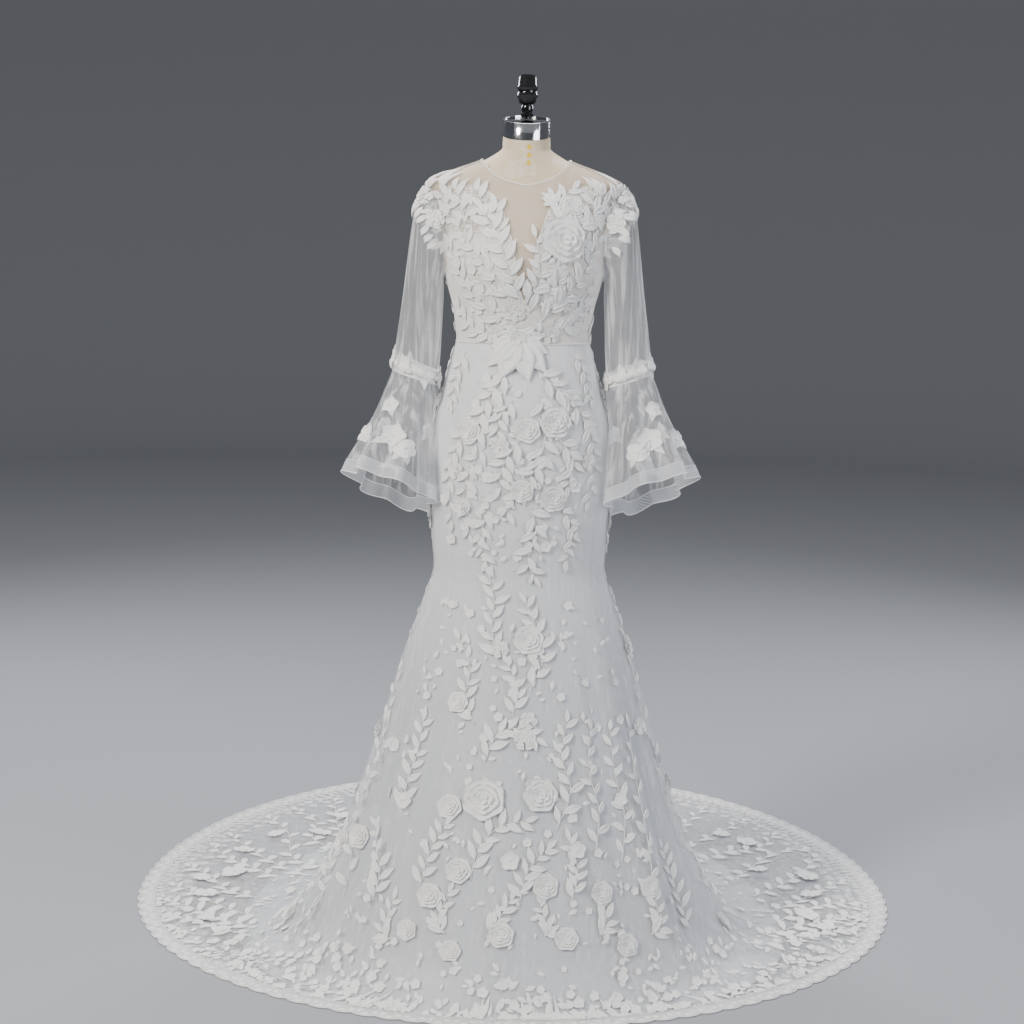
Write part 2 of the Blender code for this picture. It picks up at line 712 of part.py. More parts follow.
def make_edging():
    """Scalloped lace outside the tulle's edge, with an open mesh in each repeat."""
    angles, lengths = train_edge()

    def edge(along, across):
        angle = float(np.interp(along, lengths, angles))
        spot = skirt_base(angle, 0)
        step = 1e-3
        run = skirt_base(angle + step, 0) - skirt_base(angle - step, 0)
        away = np.array([run[1], -run[0], 0.0]) / math.hypot(run[0], run[1])
        return spot + away * (2 * SEAM + EDGING_WIDTH * across)

    panels = (
        ("edging_front", -math.pi, 0.0),
        ("edging_back_left", 0.0, math.pi / 2),
        ("edging_back_right", math.pi / 2, math.pi),
    )
    for name, start, end in panels:
        first, last = (float(np.interp(a, angles, lengths)) for a in (start, end))
        repeats = round((last - first) / EDGING_PITCH)
        places = np.linspace(first + SEAM / 2, last - SEAM / 2, 2 * repeats + 1)
        outer, inner, triangles = [], [], []
        rows = len(EDGING_ROWS)
        for i, along in enumerate(places):
            reach = EDGING_VALLEY if i % 2 == 0 else 1.0
            for j, across in enumerate(EDGING_ROWS):
                spot = edge(along, across * reach)
                lift = LACE_RELIEF if 0 < j < rows - 1 else 0.0
                outer.append(spot + (0, 0, lift))
                inner.append(spot - (0, 0, WALL))
        for i in range(2 * repeats):
            for j in range(rows - 1):
                if j == 1 and i % 2 == 1:
                    continue
                a, b = i * rows + j, (i + 1) * rows + j
                triangles += [(a, b, b + 1), (a, b + 1, a + 1)]
        slab(name, outer, inner, triangles, CORDED_LACE)


def bodice_spot(x, z):
    """The place across and up the front bodice that shows at x and z from the front."""
    row = BodyRow(*smooth(BODY_ROWS, level_of(BODY_ROWS, z)))
    turn = math.asin(min(max(x / row.half, -1.0), 1.0))
    u = turn / (math.pi / 2 - armhole_angle(z))
    low = WAIST_Z + SEAM
    return u, (z - low) / (curve_z(PLUNGE, abs(u)) - low)


def skirt_spot(x, z):
    """The place across and up the front skirt that shows at x and z from the front."""
    low, high = 0.0, float(SKIRT_TOP)
    for _ in range(40):
        level = (low + high) / 2
        half = SkirtRow(*smooth(SKIRT_ROWS, level)).half
        angle = -math.acos(min(max(x / half, -1.0), 1.0))
        if skirt_base(angle, level)[2] < z:
            low = level
        else:
            high = level
    return 1 + angle / math.pi, level


def applique(name, cloth, spots, heights, triangles):
    """A lace motif on a panel, from its flat points and the height of each."""
    panel, locate, lift = cloth
    outer, inner = [], []
    for (x, z), height in zip(spots, heights):
        point, away = lay_on(panel, *locate(x, z))
        outer.append(point + away * (lift + APPLIQUE_WALL + height))
        inner.append(point + away * lift)
    return slab(name, outer, inner, triangles, CORDED_LACE)


def add_rose(name, cloth, x, z, radius, petals=5):
    """A rose: petals round a raised heart."""
    spots, heights, triangles = [(x, z)], [0.0030], []
    count = 2 * petals
    for share, height in ((0.5, 0.0022), (1.0, 0.0)):
        for k in range(count):
            turn = 2 * math.pi * k / count
            reach = radius * share * (1.0 if k % 2 == 0 else 0.84)
            spots.append((x + reach * math.cos(turn), z + reach * math.sin(turn)))
            heights.append(height)
    for k in range(count):
        a, b = 1 + k, 1 + (k + 1) % count
        triangles += [(0, a, b), (a, a + count, b + count), (a, b + count, b)]
    applique(name, cloth, spots, heights, triangles)


def add_spray(name, cloth, stem, leaf, bare=0.004, pairs=5):
    """A leafy branch: a stem through the given points, with leaves by turns."""
    count = 2 * pairs + 1
    marks = np.linspace(0, len(stem) - 1, count)
    centre = [smooth(stem, m) for m in marks]
    spots, heights, triangles = [], [], []
    for k, (x, z) in enumerate(centre):
        before, after = centre[max(k - 1, 0)], centre[min(k + 1, count - 1)]
        run = after - before
        run = run / np.linalg.norm(run)
        side = np.array([run[1], -run[0]])
        taper = 1 - 0.45 * k / (count - 1)
        width = (leaf if k % 2 else bare) * taper
        for share in (-1, 0, 1):
            rise = run * (width * 0.6 if share else 0.0)
            spots.append(tuple(np.array([x, z]) + side * share * width + rise))
            heights.append(0.0 if share else 0.0012)
    for k in range(count - 1):
        for j in range(2):
            a, b = 3 * k + j, 3 * (k + 1) + j
            triangles += [(a, a + 1, b + 1), (a, b + 1, b)]
    applique(name, cloth, spots, heights, triangles)


def make_appliques(bodice, skirt):
    """The largest roses and leafy branches of the lace."""
    roses = (bodice, bodice_spot, ROSE_LIFT)
    bodice = (bodice, bodice_spot, SPRAY_LIFT)
    skirt = (skirt, skirt_spot, SKIRT_LIFT)
    add_rose("rose_bust_left", roses, 0.076, 1.375, 0.026, 6)
    add_rose("rose_bust_right", roses, -0.100, 1.350, 0.019)
    add_rose("rose_waist_left", roses, 0.050, 1.262, 0.020)
    right = [(-0.028, 1.315), (-0.050, 1.385), (-0.082, 1.440), (-0.114, 1.478)]
    left = [(0.030, 1.305), (0.112, 1.335), (0.124, 1.410), (0.128, 1.474)]
    add_spray("spray_neck_right", bodice, right, 0.014)
    add_spray("spray_neck_left", bodice, left, 0.014)
    for n, (x, z, radius, petals) in enumerate(
        (
            (-0.004, 1.120, 0.030, 6),
            (0.062, 1.060, 0.026, 6),
            (0.004, 1.046, 0.021, 5),
            (-0.002, 0.945, 0.022, 5),
            (0.008, 0.700, 0.024, 6),
            (-0.060, 0.330, 0.034, 6),
            (0.045, 0.345, 0.030, 6),
        )
    ):
        add_rose(f"rose_skirt_{n + 1}", skirt, x, z, radius, petals)
    branches = (
        ([(-0.012, 0.985), (-0.050, 1.010), (-0.072, 1.080), (-0.060, 1.150)], 0.015),
        ([(0.030, 0.975), (0.078, 0.985), (0.104, 1.040), (0.098, 1.110)], 0.013),
        ([(-0.050, 0.600), (-0.062, 0.660), (-0.050, 0.730), (-0.056, 0.790)], 0.014),
        ([(-0.100, 0.420), (-0.112, 0.500), (-0.090, 0.570)], 0.014),
        ([(0.020, 0.430), (0.016, 0.500), (-0.006, 0.570)], 0.016),
        ([(0.080, 0.250), (0.110, 0.330), (0.100, 0.420)], 0.015),
    )
    for n, (stem, leaf) in enumerate(branches):
        add_spray(f"branch_skirt_{n + 1}", skirt, stem, leaf)


def main():
    clear_scene()
    make_form()
    make_neck_ring()
    make_stand()
    bodice = make_bodice()
    make_closing()
    make_sleeve("left", False)
    make_sleeve("right", True)
    skirt = make_skirt()
    make_edging()
    make_appliques(bodice, skirt)


main()
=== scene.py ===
"""Looks of the mermaid gown on its dress form: cloth, lace motifs, finishes, light and camera.

Metres, +Z up. The gown faces -Y, and the wearer's left is +X. Angles go round the body
from the wearer's left side: -90 degrees is the centre front, +90 degrees the centre back.
"""
import math
from collections import namedtuple

import bpy
import numpy as np
from mathutils import Euler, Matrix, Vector


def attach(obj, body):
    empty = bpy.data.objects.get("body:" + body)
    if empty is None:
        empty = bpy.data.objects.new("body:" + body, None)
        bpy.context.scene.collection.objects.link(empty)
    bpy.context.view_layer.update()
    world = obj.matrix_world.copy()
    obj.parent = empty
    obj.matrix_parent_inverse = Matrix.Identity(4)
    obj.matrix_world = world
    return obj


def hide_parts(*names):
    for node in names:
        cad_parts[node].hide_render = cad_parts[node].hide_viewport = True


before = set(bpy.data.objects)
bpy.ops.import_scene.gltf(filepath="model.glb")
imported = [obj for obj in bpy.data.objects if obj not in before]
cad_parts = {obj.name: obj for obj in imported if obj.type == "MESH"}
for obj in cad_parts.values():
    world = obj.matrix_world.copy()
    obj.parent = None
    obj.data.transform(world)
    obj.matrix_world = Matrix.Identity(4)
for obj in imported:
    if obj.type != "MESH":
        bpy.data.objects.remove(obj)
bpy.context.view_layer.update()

bl_info = {
    "name": "Mermaid gown",
    "version": (1, 0, 0),
    "blender": (4, 5, 0),
    "location": "3D View > Sidebar > Gown",
    "description": "Dresses the packed gown and its form in cloth, lace and finishes",
    "category": "Object",
}

MM = 0.001
WAIST_Z = 1.203
HEM_Z = 0.0016
FOLDS_ROUND = 18
SMOOTH_FRONT = math.radians(26)
FULL_FOLDS = math.radians(62)
ARMHOLE_Z = 1.415
ARMHOLE_HALF = 0.085
ARMHOLE_TURN = math.radians(27)
ARMHOLE_LIFT = 0.0015
SLEEVE_PLEATS = 5
BELL_FLUTES = 7
HIP_CLEAR = 0.008
EDGING_WIDTH = 0.038
SCALLOP = 0.045
BIG_FLOWER_GAP = 0.36
BUTTON_R = 0.0055
BUTTON_COUNT = 10
PLACKET_HALF = 0.008
LINING_INSIDE = 0.0032
FORM_BOTTOM = 0.800
NECK_TILT = math.tan(math.radians(13))
NECK_MID = -0.006
NECK_TOP = 1.587
RING_R = 0.0445
RING_WALL = 0.0030
RING_H = 0.0315

BodyRow = namedtuple("BodyRow", "z half front back")
# The gown's outer face from the knee up
BODY_ROWS = [
    BodyRow(0.763, 0.1656, 0.112, 0.116),
    BodyRow(0.810, 0.1670, 0.114, 0.121),
    BodyRow(0.870, 0.1700, 0.119, 0.130),
    BodyRow(0.940, 0.1720, 0.124, 0.137),
    BodyRow(0.996, 0.1700, 0.124, 0.136),
    BodyRow(1.054, 0.1650, 0.121, 0.130),
    BodyRow(1.110, 0.1500, 0.112, 0.114),
    BodyRow(1.157, 0.1390, 0.102, 0.100),
    BodyRow(WAIST_Z, 0.1270, 0.092, 0.088),
    BodyRow(1.235, 0.1295, 0.096, 0.089),
    BodyRow(1.268, 0.1340, 0.105, 0.093),
    BodyRow(1.305, 0.1440, 0.118, 0.099),
    BodyRow(1.340, 0.1510, 0.127, 0.104),
    BodyRow(1.375, 0.1565, 0.125, 0.108),
    BodyRow(1.410, 0.1620, 0.114, 0.110),
    BodyRow(1.443, 0.1680, 0.099, 0.107),
    BodyRow(1.470, 0.1760, 0.085, 0.099),
    BodyRow(1.488, 0.1840, 0.074, 0.090),
    BodyRow(1.502, 0.1830, 0.067, 0.080),
    BodyRow(1.514, 0.1610, 0.063, 0.073),
    BodyRow(1.526, 0.1320, 0.060, 0.067),
    BodyRow(1.537, 0.1010, 0.058, 0.063),
    BodyRow(1.548, 0.0740, 0.057, 0.060),
    BodyRow(1.562, 0.0550, 0.055, 0.056),
]

SkirtRow = namedtuple("SkirtRow", "z half z_front front z_back back middle fold")
# The skirt's flare and train, from the edge on the floor up to the knee
FLARE_ROWS = [
    SkirtRow(HEM_Z, 0.765, HEM_Z, 0.365, HEM_Z, 1.280, 0.38, 0.000),
    SkirtRow(0.006, 0.680, 0.006, 0.360, 0.006, 1.070, 0.28, 0.009),
    SkirtRow(0.010, 0.580, 0.014, 0.352, 0.007, 0.860, 0.18, 0.010),
    SkirtRow(0.030, 0.475, 0.040, 0.338, 0.016, 0.670, 0.08, 0.010),
    SkirtRow(0.085, 0.405, 0.088, 0.315, 0.050, 0.560, 0.03, 0.012),
    SkirtRow(0.180, 0.352, 0.180, 0.285, 0.140, 0.470, 0.00, 0.013),
    SkirtRow(0.290, 0.307, 0.290, 0.252, 0.260, 0.390, 0.00, 0.012),
    SkirtRow(0.400, 0.272, 0.400, 0.218, 0.385, 0.310, 0.00, 0.010),
    SkirtRow(0.500, 0.2436, 0.500, 0.185, 0.490, 0.245, 0.00, 0.007),
    SkirtRow(0.600, 0.2170, 0.600, 0.152, 0.595, 0.185, 0.00, 0.004),
    SkirtRow(0.660, 0.1980, 0.660, 0.134, 0.657, 0.152, 0.00, 0.002),
    SkirtRow(0.716, 0.1800, 0.716, 0.120, 0.715, 0.129, 0.00, 0.001),
]
SKIRT_ROWS = FLARE_ROWS + [
    SkirtRow(r.z, r.half, r.z, r.front, r.z, r.back, 0.0, 0.0)
    for r in BODY_ROWS
    if r.z <= WAIST_Z
]
SKIRT_TOP = len(SKIRT_ROWS) - 1
# Where the lining ends on the floor, as a level of the skirt
LINING_HEM = {"front": 0.7, "side": 2.3, "back": 1.6}

ArmRow = namedtuple("ArmRow", "out_x out_z in_x in_z front back drop flute")
# The bell's hem up to the sleeve's cap; the armhole itself closes the list
ARM_ROWS = [
    ArmRow(0.3300, 0.944, 0.1600, 0.884, 0.125, 0.092, 0.040, 0.016),
    ArmRow(0.3215, 0.967, 0.1595, 0.909, 0.119, 0.088, 0.038, 0.014),
    ArmRow(0.3000, 1.010, 0.1580, 0.960, 0.103, 0.078, 0.029, 0.010),
    ArmRow(0.2770, 1.060, 0.1570, 1.015, 0.083, 0.065, 0.018, 0.005),
    ArmRow(0.2590, 1.110, 0.1575, 1.072, 0.062, 0.052, 0.008, 0.002),
    ArmRow(0.2475, 1.147, 0.1590, 1.119, 0.046, 0.040, 0.000, 0.000),
    ArmRow(0.2500, 1.160, 0.1570, 1.131, 0.049, 0.043, 0.000, 0.000),
    ArmRow(0.2450, 1.172, 0.1585, 1.143, 0.044, 0.038, 0.000, 0.000),
    ArmRow(0.2375, 1.215, 0.1560, 1.180, 0.047, 0.041, 0.000, 0.0015),
    ArmRow(0.2260, 1.300, 0.1535, 1.235, 0.052, 0.047, 0.000, 0.0020),
    ArmRow(0.2165, 1.390, 0.1520, 1.285, 0.058, 0.054, 0.000, 0.0012),
    ArmRow(0.2090, 1.452, 0.1515, 1.315, 0.061, 0.059, 0.000, 0.0000),
]
BRAID_TOP = 1
BELL_TOP = 5
BAND_TOP = 7
ARM_LAST = len(ARM_ROWS) - 1
ARM_TOP = ARM_LAST + 1

CurveRow = namedtuple("CurveRow", "across z")
# Across goes from 0 at the centre front to 1 at the side
PLUNGE = [
    CurveRow(0.00, 1.283),
    CurveRow(0.10, 1.368),
    CurveRow(0.19, 1.430),
    CurveRow(0.26, 1.474),
    CurveRow(0.36, 1.492),
    CurveRow(0.60, 1.494),
    CurveRow(1.00, 1.470),
]
NECKLINE = [
    CurveRow(0.00, 1.490),
    CurveRow(0.19, 1.508),
    CurveRow(0.29, 1.520),
    CurveRow(0.49, 1.535),
    CurveRow(1.00, 1.544),
]
# Across goes from 0 at the side to 1 at the centre back
BACK_TOP = [
    CurveRow(0.00, 1.470),
    CurveRow(0.30, 1.457),
    CurveRow(0.60, 1.435),
    CurveRow(1.00, 1.415),
]
BACK_NECK = [
    CurveRow(0.00, 1.544),
    CurveRow(0.42, 1.541),
    CurveRow(0.69, 1.537),
    CurveRow(1.00, 1.533),
]

EaseRow = namedtuple("EaseRow", "z ease")
# How far the form lies inside the gown's outer face
FORM_EASE = [
    EaseRow(1.130, 0.0085),
    EaseRow(1.250, 0.0050),
    EaseRow(1.340, 0.0060),
    EaseRow(1.460, 0.0060),
    EaseRow(1.500, 0.0055),
    EaseRow(1.540, 0.0050),
]

TurnRow = namedtuple("TurnRow", "z radius")
FINIAL = [
    TurnRow(1.6190, 0.0050),
    TurnRow(1.6225, 0.0050),
    TurnRow(1.6230, 0.0120),
    TurnRow(1.6270, 0.0125),
    TurnRow(1.6310, 0.0095),
    TurnRow(1.6400, 0.0115),
    TurnRow(1.6450, 0.0095),
    TurnRow(1.6480, 0.0155),
    TurnRow(1.6550, 0.0168),
    TurnRow(1.6620, 0.0205),
    TurnRow(1.6670, 0.0180),
    TurnRow(1.6720, 0.0180),
    TurnRow(1.6760, 0.0205),
    TurnRow(1.6810, 0.0175),
    TurnRow(1.6950, 0.0165),
    TurnRow(1.7000, 0.0130),
]

Crease = namedtuple("Crease", "turn lean low high width depth")
# Soft troughs (depth below 0) and ridges of the skirt. Turn, lean and width in degrees, low
# and high as levels of the skirt, depth in millimetres.
CREASES = [
    Crease(-171, 3, 1.5, 9.0, 4.0, -5.0),
    Crease(-160, -4, 2.5, 7.0, 3.0, 4.0),
    Crease(-149, 2, 3.0, 10.5, 4.5, -6.0),
    Crease(-137, -3, 2.0, 8.0, 3.5, 4.5),
    Crease(-128, 4, 3.5, 11.0, 4.0, -5.0),
    Crease(-114, -2, 2.6, 6.5, 3.2, 3.5),
    Crease(-104, 3, 3.2, 8.2, 3.6, -3.0),
    Crease(-92, -2, 2.4, 6.0, 3.0, 2.4),
    Crease(-79, 3, 3.0, 7.6, 4.0, -3.4),
    Crease(-66, -4, 2.2, 9.0, 3.6, 4.0),
    Crease(-53, 2, 3.0, 10.8, 4.6, -6.0),
    Crease(-41, -3, 1.8, 7.4, 3.2, 4.8),
    Crease(-29, 4, 2.8, 10.0, 4.2, -5.5),
    Crease(-14, -2, 2.2, 8.4, 3.4, 4.2),
    Crease(3, 3, 1.6, 9.6, 4.4, -5.2),
    Crease(19, -4, 2.0, 7.2, 3.4, 4.6),
    Crease(34, 2, 1.4, 10.2, 4.6, -6.2),
    Crease(48, -2, 1.2, 8.0, 3.8, 4.8),
    Crease(63, 4, 1.6, 9.4, 4.2, -5.4),
    Crease(77, -3, 1.0, 7.0, 3.0, 3.6),
    Crease(101, 3, 1.2, 8.6, 3.6, -4.4),
    Crease(115, -4, 1.4, 7.4, 3.4, 4.2),
    Crease(129, 2, 1.8, 10.4, 4.4, -6.0),
    Crease(143, -3, 1.2, 8.0, 3.6, 4.6),
    Crease(158, 4, 1.6, 9.2, 4.2, -5.0),
    Crease(176, -2, 1.4, 7.6, 3.2, 4.4),
]


def smooth(rows, level):
    """The rows' values at fractional row numbers, on a Catmull-Rom curve."""
    table = np.array(rows, float)
    last = len(rows) - 1
    level = np.clip(np.asarray(level, float), 0.0, last)
    index = np.minimum(level.astype(int), last - 1)
    f = (level - index)[..., None]
    a, b, c, d = (table[np.clip(index + k, 0, last)] for k in (-1, 0, 1, 2))
    bend = (2 * a - 5 * b + 4 * c - d) * f + (3 * b - a - 3 * c + d) * f * f
    return 0.5 * (2 * b + (c - a + bend) * f)


def columns(rows, level):
    return np.moveaxis(smooth(rows, level), -1, 0)


def curve_z(rows, across):
    """Height of a panel's edge at places across it."""
    level = np.interp(across, [r.across for r in rows], range(len(rows)))
    return columns(rows, level)[1]


BODY_STEPS = np.linspace(0, len(BODY_ROWS) - 1, 4001)
BODY_HEIGHTS = columns(BODY_ROWS, BODY_STEPS)[0]


def body_rows(z):
    """Half width and depths of the gown's outer face at heights from the hip up."""
    return columns(BODY_ROWS, np.interp(z, BODY_HEIGHTS, BODY_STEPS))[1:]


def body_point(angle, z):
    half, front, back = body_rows(z)
    s = np.sin(angle)
    return np.stack([half * np.cos(angle), np.where(s > 0, back, front) * s, z + 0 * s], -1)


def off_centre(angle, centre):
    """How far an angle lies from another, at most half a turn."""
    return (angle - centre + math.pi) % (2 * math.pi) - math.pi


def fold_height(angle):
    """Share of the fold that stands out here, 0 to 1; none at the centre front."""
    away = np.abs(off_centre(angle, -math.pi / 2))
    share = np.clip((away - SMOOTH_FRONT) / (FULL_FOLDS - SMOOTH_FRONT), 0.0, 1.0)
    return share * (1 + np.cos(FOLDS_ROUND * angle)) / 2


def skirt_base(angle, level):
    """The skirt's outer face without its folds."""
    z_side, half, z_front, front, z_back, back, middle, _ = columns(SKIRT_ROWS, level)
    c, s = np.cos(angle), np.sin(angle)
    ahead, behind = np.maximum(-s, 0.0), np.maximum(s, 0.0)
    z = z_side * c * c + z_front * ahead**2 + z_back * behind**2
    y = middle + (back - middle) * behind - (front + middle) * ahead
    return np.stack([half * c, y, z], -1)


def crease_height(angle, level):
    """How far the listed creases lift the skirt here, in metres."""
    height = np.zeros(np.broadcast(angle, level).shape)
    for crease in CREASES:
        along = np.clip((level - crease.low) / (crease.high - crease.low), 0.0, 1.0)
        centre = np.radians(crease.turn + crease.lean * along)
        across = off_centre(angle, centre) / math.radians(crease.width)
        height += crease.depth * MM * np.exp(-(across**2)) * np.sin(math.pi * along) ** 1.5
    return height


def facing(surface, u, v, low=None, high=None):
    """Unit vector out of a surface whose u runs anticlockwise and v upwards."""
    step = 1e-4
    v = v if low is None else np.clip(v, low + step, high - step)
    along = surface(u + step, v) - surface(u - step, v)
    up = surface(u, v + step) - surface(u, v - step)
    out = np.cross(along, up)
    return out / np.linalg.norm(out, axis=-1, keepdims=True)


def skirt_point(angle, level):
    """The tulle's face, with its folds, creases and the train's fine ripples."""
    angle, level = np.broadcast_arrays(np.asarray(angle, float), np.asarray(level, float))
    fold = columns(SKIRT_ROWS, level)[7] * fold_height(angle)
    away = facing(skirt_base, angle, level, 0.0, SKIRT_TOP)
    lifted = fold + crease_height(angle, level) + train_ripple(angle, level)
    spot = skirt_base(angle, level) + away * lifted[..., None]
    spot[..., 2] = np.maximum(spot[..., 2], HEM_Z)
    return spot


def train_ripple(angle, level):
    """Small radial ripples of the tulle where it lies on the floor."""
    reach = np.exp(-(((level - 1.2) / 0.9) ** 2)) * np.clip(level / 0.3, 0.0, 1.0)
    uneven = np.sin(37 * angle + 1.3 * np.sin(5 * angle)) * np.sin(11 * angle + 0.6)
    return 3.2 * MM * reach * np.maximum(uneven, 0.0)


def armhole_angle(z):
    """How far the armhole reaches round the body from the side at this height."""
    share = 1 - ((z - ARMHOLE_Z) / ARMHOLE_HALF) ** 2
    return ARMHOLE_TURN * np.sqrt(np.maximum(share, 0.0))


def front_panel(lower, upper):
    """A front panel between two edge curves: u is -1 to 1 across, v is 0 to 1 up."""

    def point(u, v):
        low, high = lower(np.abs(u)), upper(np.abs(u))
        z = low + (high - low) * v
        reach = math.pi / 2 - armhole_angle(z)
        return body_point(-math.pi / 2 + u * reach, z)

    return point


def back_panel(lower, upper):
    """A left back panel: u is 0 at the side and 1 at the centre back, v is 0 to 1 up."""

    def point(u, v):
        low, high = lower(u), upper(u)
        z = low + (high - low) * v
        start = armhole_angle(z)
        return body_point(start + u * (math.pi / 2 - start), z)

    return point


def lining_hem(angle):
    """The level of the skirt where the lining ends."""
    c, s = np.cos(angle), np.sin(angle)
    end = np.where(s < 0, LINING_HEM["front"], LINING_HEM["back"])
    return LINING_HEM["side"] * c * c + end * s * s


def armhole_point(turn):
    """The loop that the sleeve is sewn to; turn is 0 at the shoulder point."""
    angle = ARMHOLE_TURN * np.sin(turn)
    z = ARMHOLE_Z + ARMHOLE_HALF * np.cos(turn)
    return body_point(angle, z) + facing(body_point, angle, z) * ARMHOLE_LIFT


def clear_of_hip(spot):
    """The points, moved out level until they stand clear of the hip."""
    x, y, z = np.moveaxis(spot, -1, 0)
    half, front, back = body_rows(z)
    depth = np.where(y > 0, back, front) + HIP_CLEAR
    share = np.minimum(np.hypot(x / (half + HIP_CLEAR), y / depth), 1.0)
    return np.stack([x / share, y / share, z], -1)


def arm_ring(turn, level):
    """A ring of the sleeve or bell; turn is 0 at the outer side, +90 degrees behind."""
    out_x, out_z, in_x, in_z, front, back, drop, flute = columns(ARM_ROWS, level)
    c, s = np.cos(turn), np.sin(turn)
    middle = np.stack([(out_x + in_x) / 2, 0 * s, (out_z + in_z) / 2], -1)
    depth = np.where(s > 0, back, front)
    spoke = np.stack([(out_x - in_x) / 2 * c, depth * s, (out_z - in_z) / 2 * c - drop * s], -1)
    waves = np.where(level < BELL_TOP, BELL_FLUTES, SLEEVE_PLEATS)
    ripple = flute * np.cos(waves * turn) + sleeve_crease(turn, level)
    size = np.linalg.norm(spoke, axis=-1)
    return clear_of_hip(middle + spoke * (1 + ripple / size)[..., None])


def sleeve_crease(turn, level):
    """Long soft pleats down the sheer sleeve, uneven round it, in metres."""
    long_fold = np.sin(4 * turn + 0.7) + 0.7 * np.sin(9 * turn + 2.1 + 0.25 * level)
    fade = np.clip((level - BAND_TOP) / 1.2, 0.0, 1.0) * np.clip((ARM_LAST - level) / 1.0, 0.0, 1.0)
    return 0.9 * MM * long_fold * fade


def arm_point(turn, level):
    """The left sleeve's face, from the bell's hem up to the armhole."""
    turn, level = np.broadcast_arrays(np.asarray(turn, float), np.asarray(level, float))
    share = np.clip(level - ARM_LAST, 0.0, 1.0)[..., None]
    ring = arm_ring(turn, np.minimum(level, ARM_LAST))
    return ring * (1 - share) + armhole_point(turn) * share


# Meshes


def grid_quads(across, up, around=False):
    """The faces of a grid of points, column by column."""
    starts = np.arange(across if around else across - 1)[:, None] * up
    a = (starts + np.arange(up - 1)).ravel()
    b = (a + up) % (across * up)
    return np.stack([a, b, b + 1, a + 1], -1)


def grid_points(surface, us, vs):
    """Points of a surface over every pair of places, column by column."""
    u, v = np.meshgrid(us, vs, indexing="ij")
    return surface(u, v)


def laid_flat(points, cut, around):
    """Width, mean length and area of the cloth that a grid of points shows, laid flat.

    A strip is as wide as its longest row, a fan as the straight line across its arc, and a
    level cut, whose rows dip, as it is seen from above.
    """
    if around:
        points = np.concatenate([points, points[:1]])
    sides = np.cross(points[1:, 1:] - points[:-1, :-1], points[:-1, 1:] - points[1:, :-1])
    area = np.linalg.norm(sides, axis=-1).sum() / 2
    up = np.linalg.norm(np.diff(points, axis=1), axis=-1)
    if cut == "level":
        points = points[..., :2]
    rows = np.linalg.norm(np.diff(points, axis=0), axis=-1).sum(0)
    width = rows.max()
    if cut == "fan":
        first, last = sorted((int(rows.argmin()), int(rows.argmax())))
        flare = (rows.max() - rows.min()) / up[:, first:last].sum(1).mean()
        width *= np.sinc(min(flare, math.pi) / (2 * math.pi))
    return float(width), float(up.sum(1).mean()), float(area)


def joined(parts):
    """Several (points, faces) as one."""
    points, faces, count = [], [], 0
    for spots, quads in parts:
        spots = np.reshape(spots, (-1, 3))
        points.append(spots)
        faces.append(np.asarray(quads) + count)
        count += len(spots)
    return np.concatenate(points), np.concatenate(faces)


def add_piece(name, shape, finish, slot, stands_for=(), sharp=None):
    """A piece of the gown or its form as a smooth mesh that rides on the part."""
    points, faces = shape
    mesh = bpy.data.meshes.new(name)
    mesh.from_pydata(np.reshape(points, (-1, 3)).tolist(), [], np.asarray(faces).tolist())
    mesh.shade_smooth()
    if sharp is not None:
        mesh.set_sharp_from_angle(angle=math.radians(sharp))
    mesh.materials.append(finish)
    made = bpy.data.objects.new(name, mesh)
    bpy.context.scene.collection.objects.link(made)
    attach(made, "root")
    if stands_for:
        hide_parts(*stands_for)
    return made


def add_sheet(name, points, finish, slot, held, rests_on, around=False, **more):
    """A sheet of cloth over a grid of points; the size that it was cut to is worked out but not kept.
    """
    across, up = points.shape[:2]
    shape = (points, grid_quads(across, up, around))
    made = add_piece(name, shape, finish, slot, more.get("stands_for", ()))
    width, length, area = laid_flat(points, more.get("cut", "fan"), around)
    return made


def mirrored(points):
    """The same grid of points on the wearer's right, still facing out."""
    return (points * (-1, 1, 1))[::-1]


def cord(path, radius, sides=6, closed=False):
    """A round cord along a path of points."""
    path = np.asarray(path, float)
    if closed:
        run = np.roll(path, -1, 0) - np.roll(path, 1, 0)
    else:
        run = np.gradient(path, axis=0)
    run /= np.linalg.norm(run, axis=1, keepdims=True)
    guide = np.where(np.abs(run[:, 2:]) < 0.9, (0.0, 0.0, 1.0), (1.0, 0.0, 0.0))
    side = np.cross(run, guide)
    side /= np.linalg.norm(side, axis=1, keepdims=True)
    up = np.cross(side, run)
    turns = np.arange(sides) * 2 * math.pi / sides
    spokes = (
        side[:, None] * np.cos(turns)[None, :, None] + up[:, None] * np.sin(turns)[None, :, None]
    )
    ring = path[:, None] + spokes * np.reshape(radius, (-1, 1, 1))
    ring = np.concatenate([ring, ring[:, :1]], 1)
    return ring, grid_quads(len(path), sides + 1, closed)


def turned(rows, segments, place=None):
    """A shape turned about the Z axis from its rows, closed at both ends."""
    turns = np.arange(segments) * 2 * math.pi / segments
    radii = np.array([0.0] + [r.radius for r in rows] + [0.0])
    heights = np.array([rows[0].z] + [r.z for r in rows] + [rows[-1].z])
    x = np.cos(turns)[:, None] * radii
    y = np.sin(turns)[:, None] * radii
    spots = np.stack([x, y, heights + 0 * x], -1)
    if place:
        spots = place(spots)
    return spots, grid_quads(segments, len(radii), True)


# Materials

MIX_A, MIX_B, MIX_OUT = 6, 7, 2


def linear(colour):
    """Linear RGBA of an sRGB colour in hex."""
    shares = [int(colour[k : k + 2], 16) / 255 for k in (0, 2, 4)]
    return [c / 12.92 if c <= 0.04045 else ((c + 0.055) / 1.055) ** 2.4 for c in shares] + [1.0]


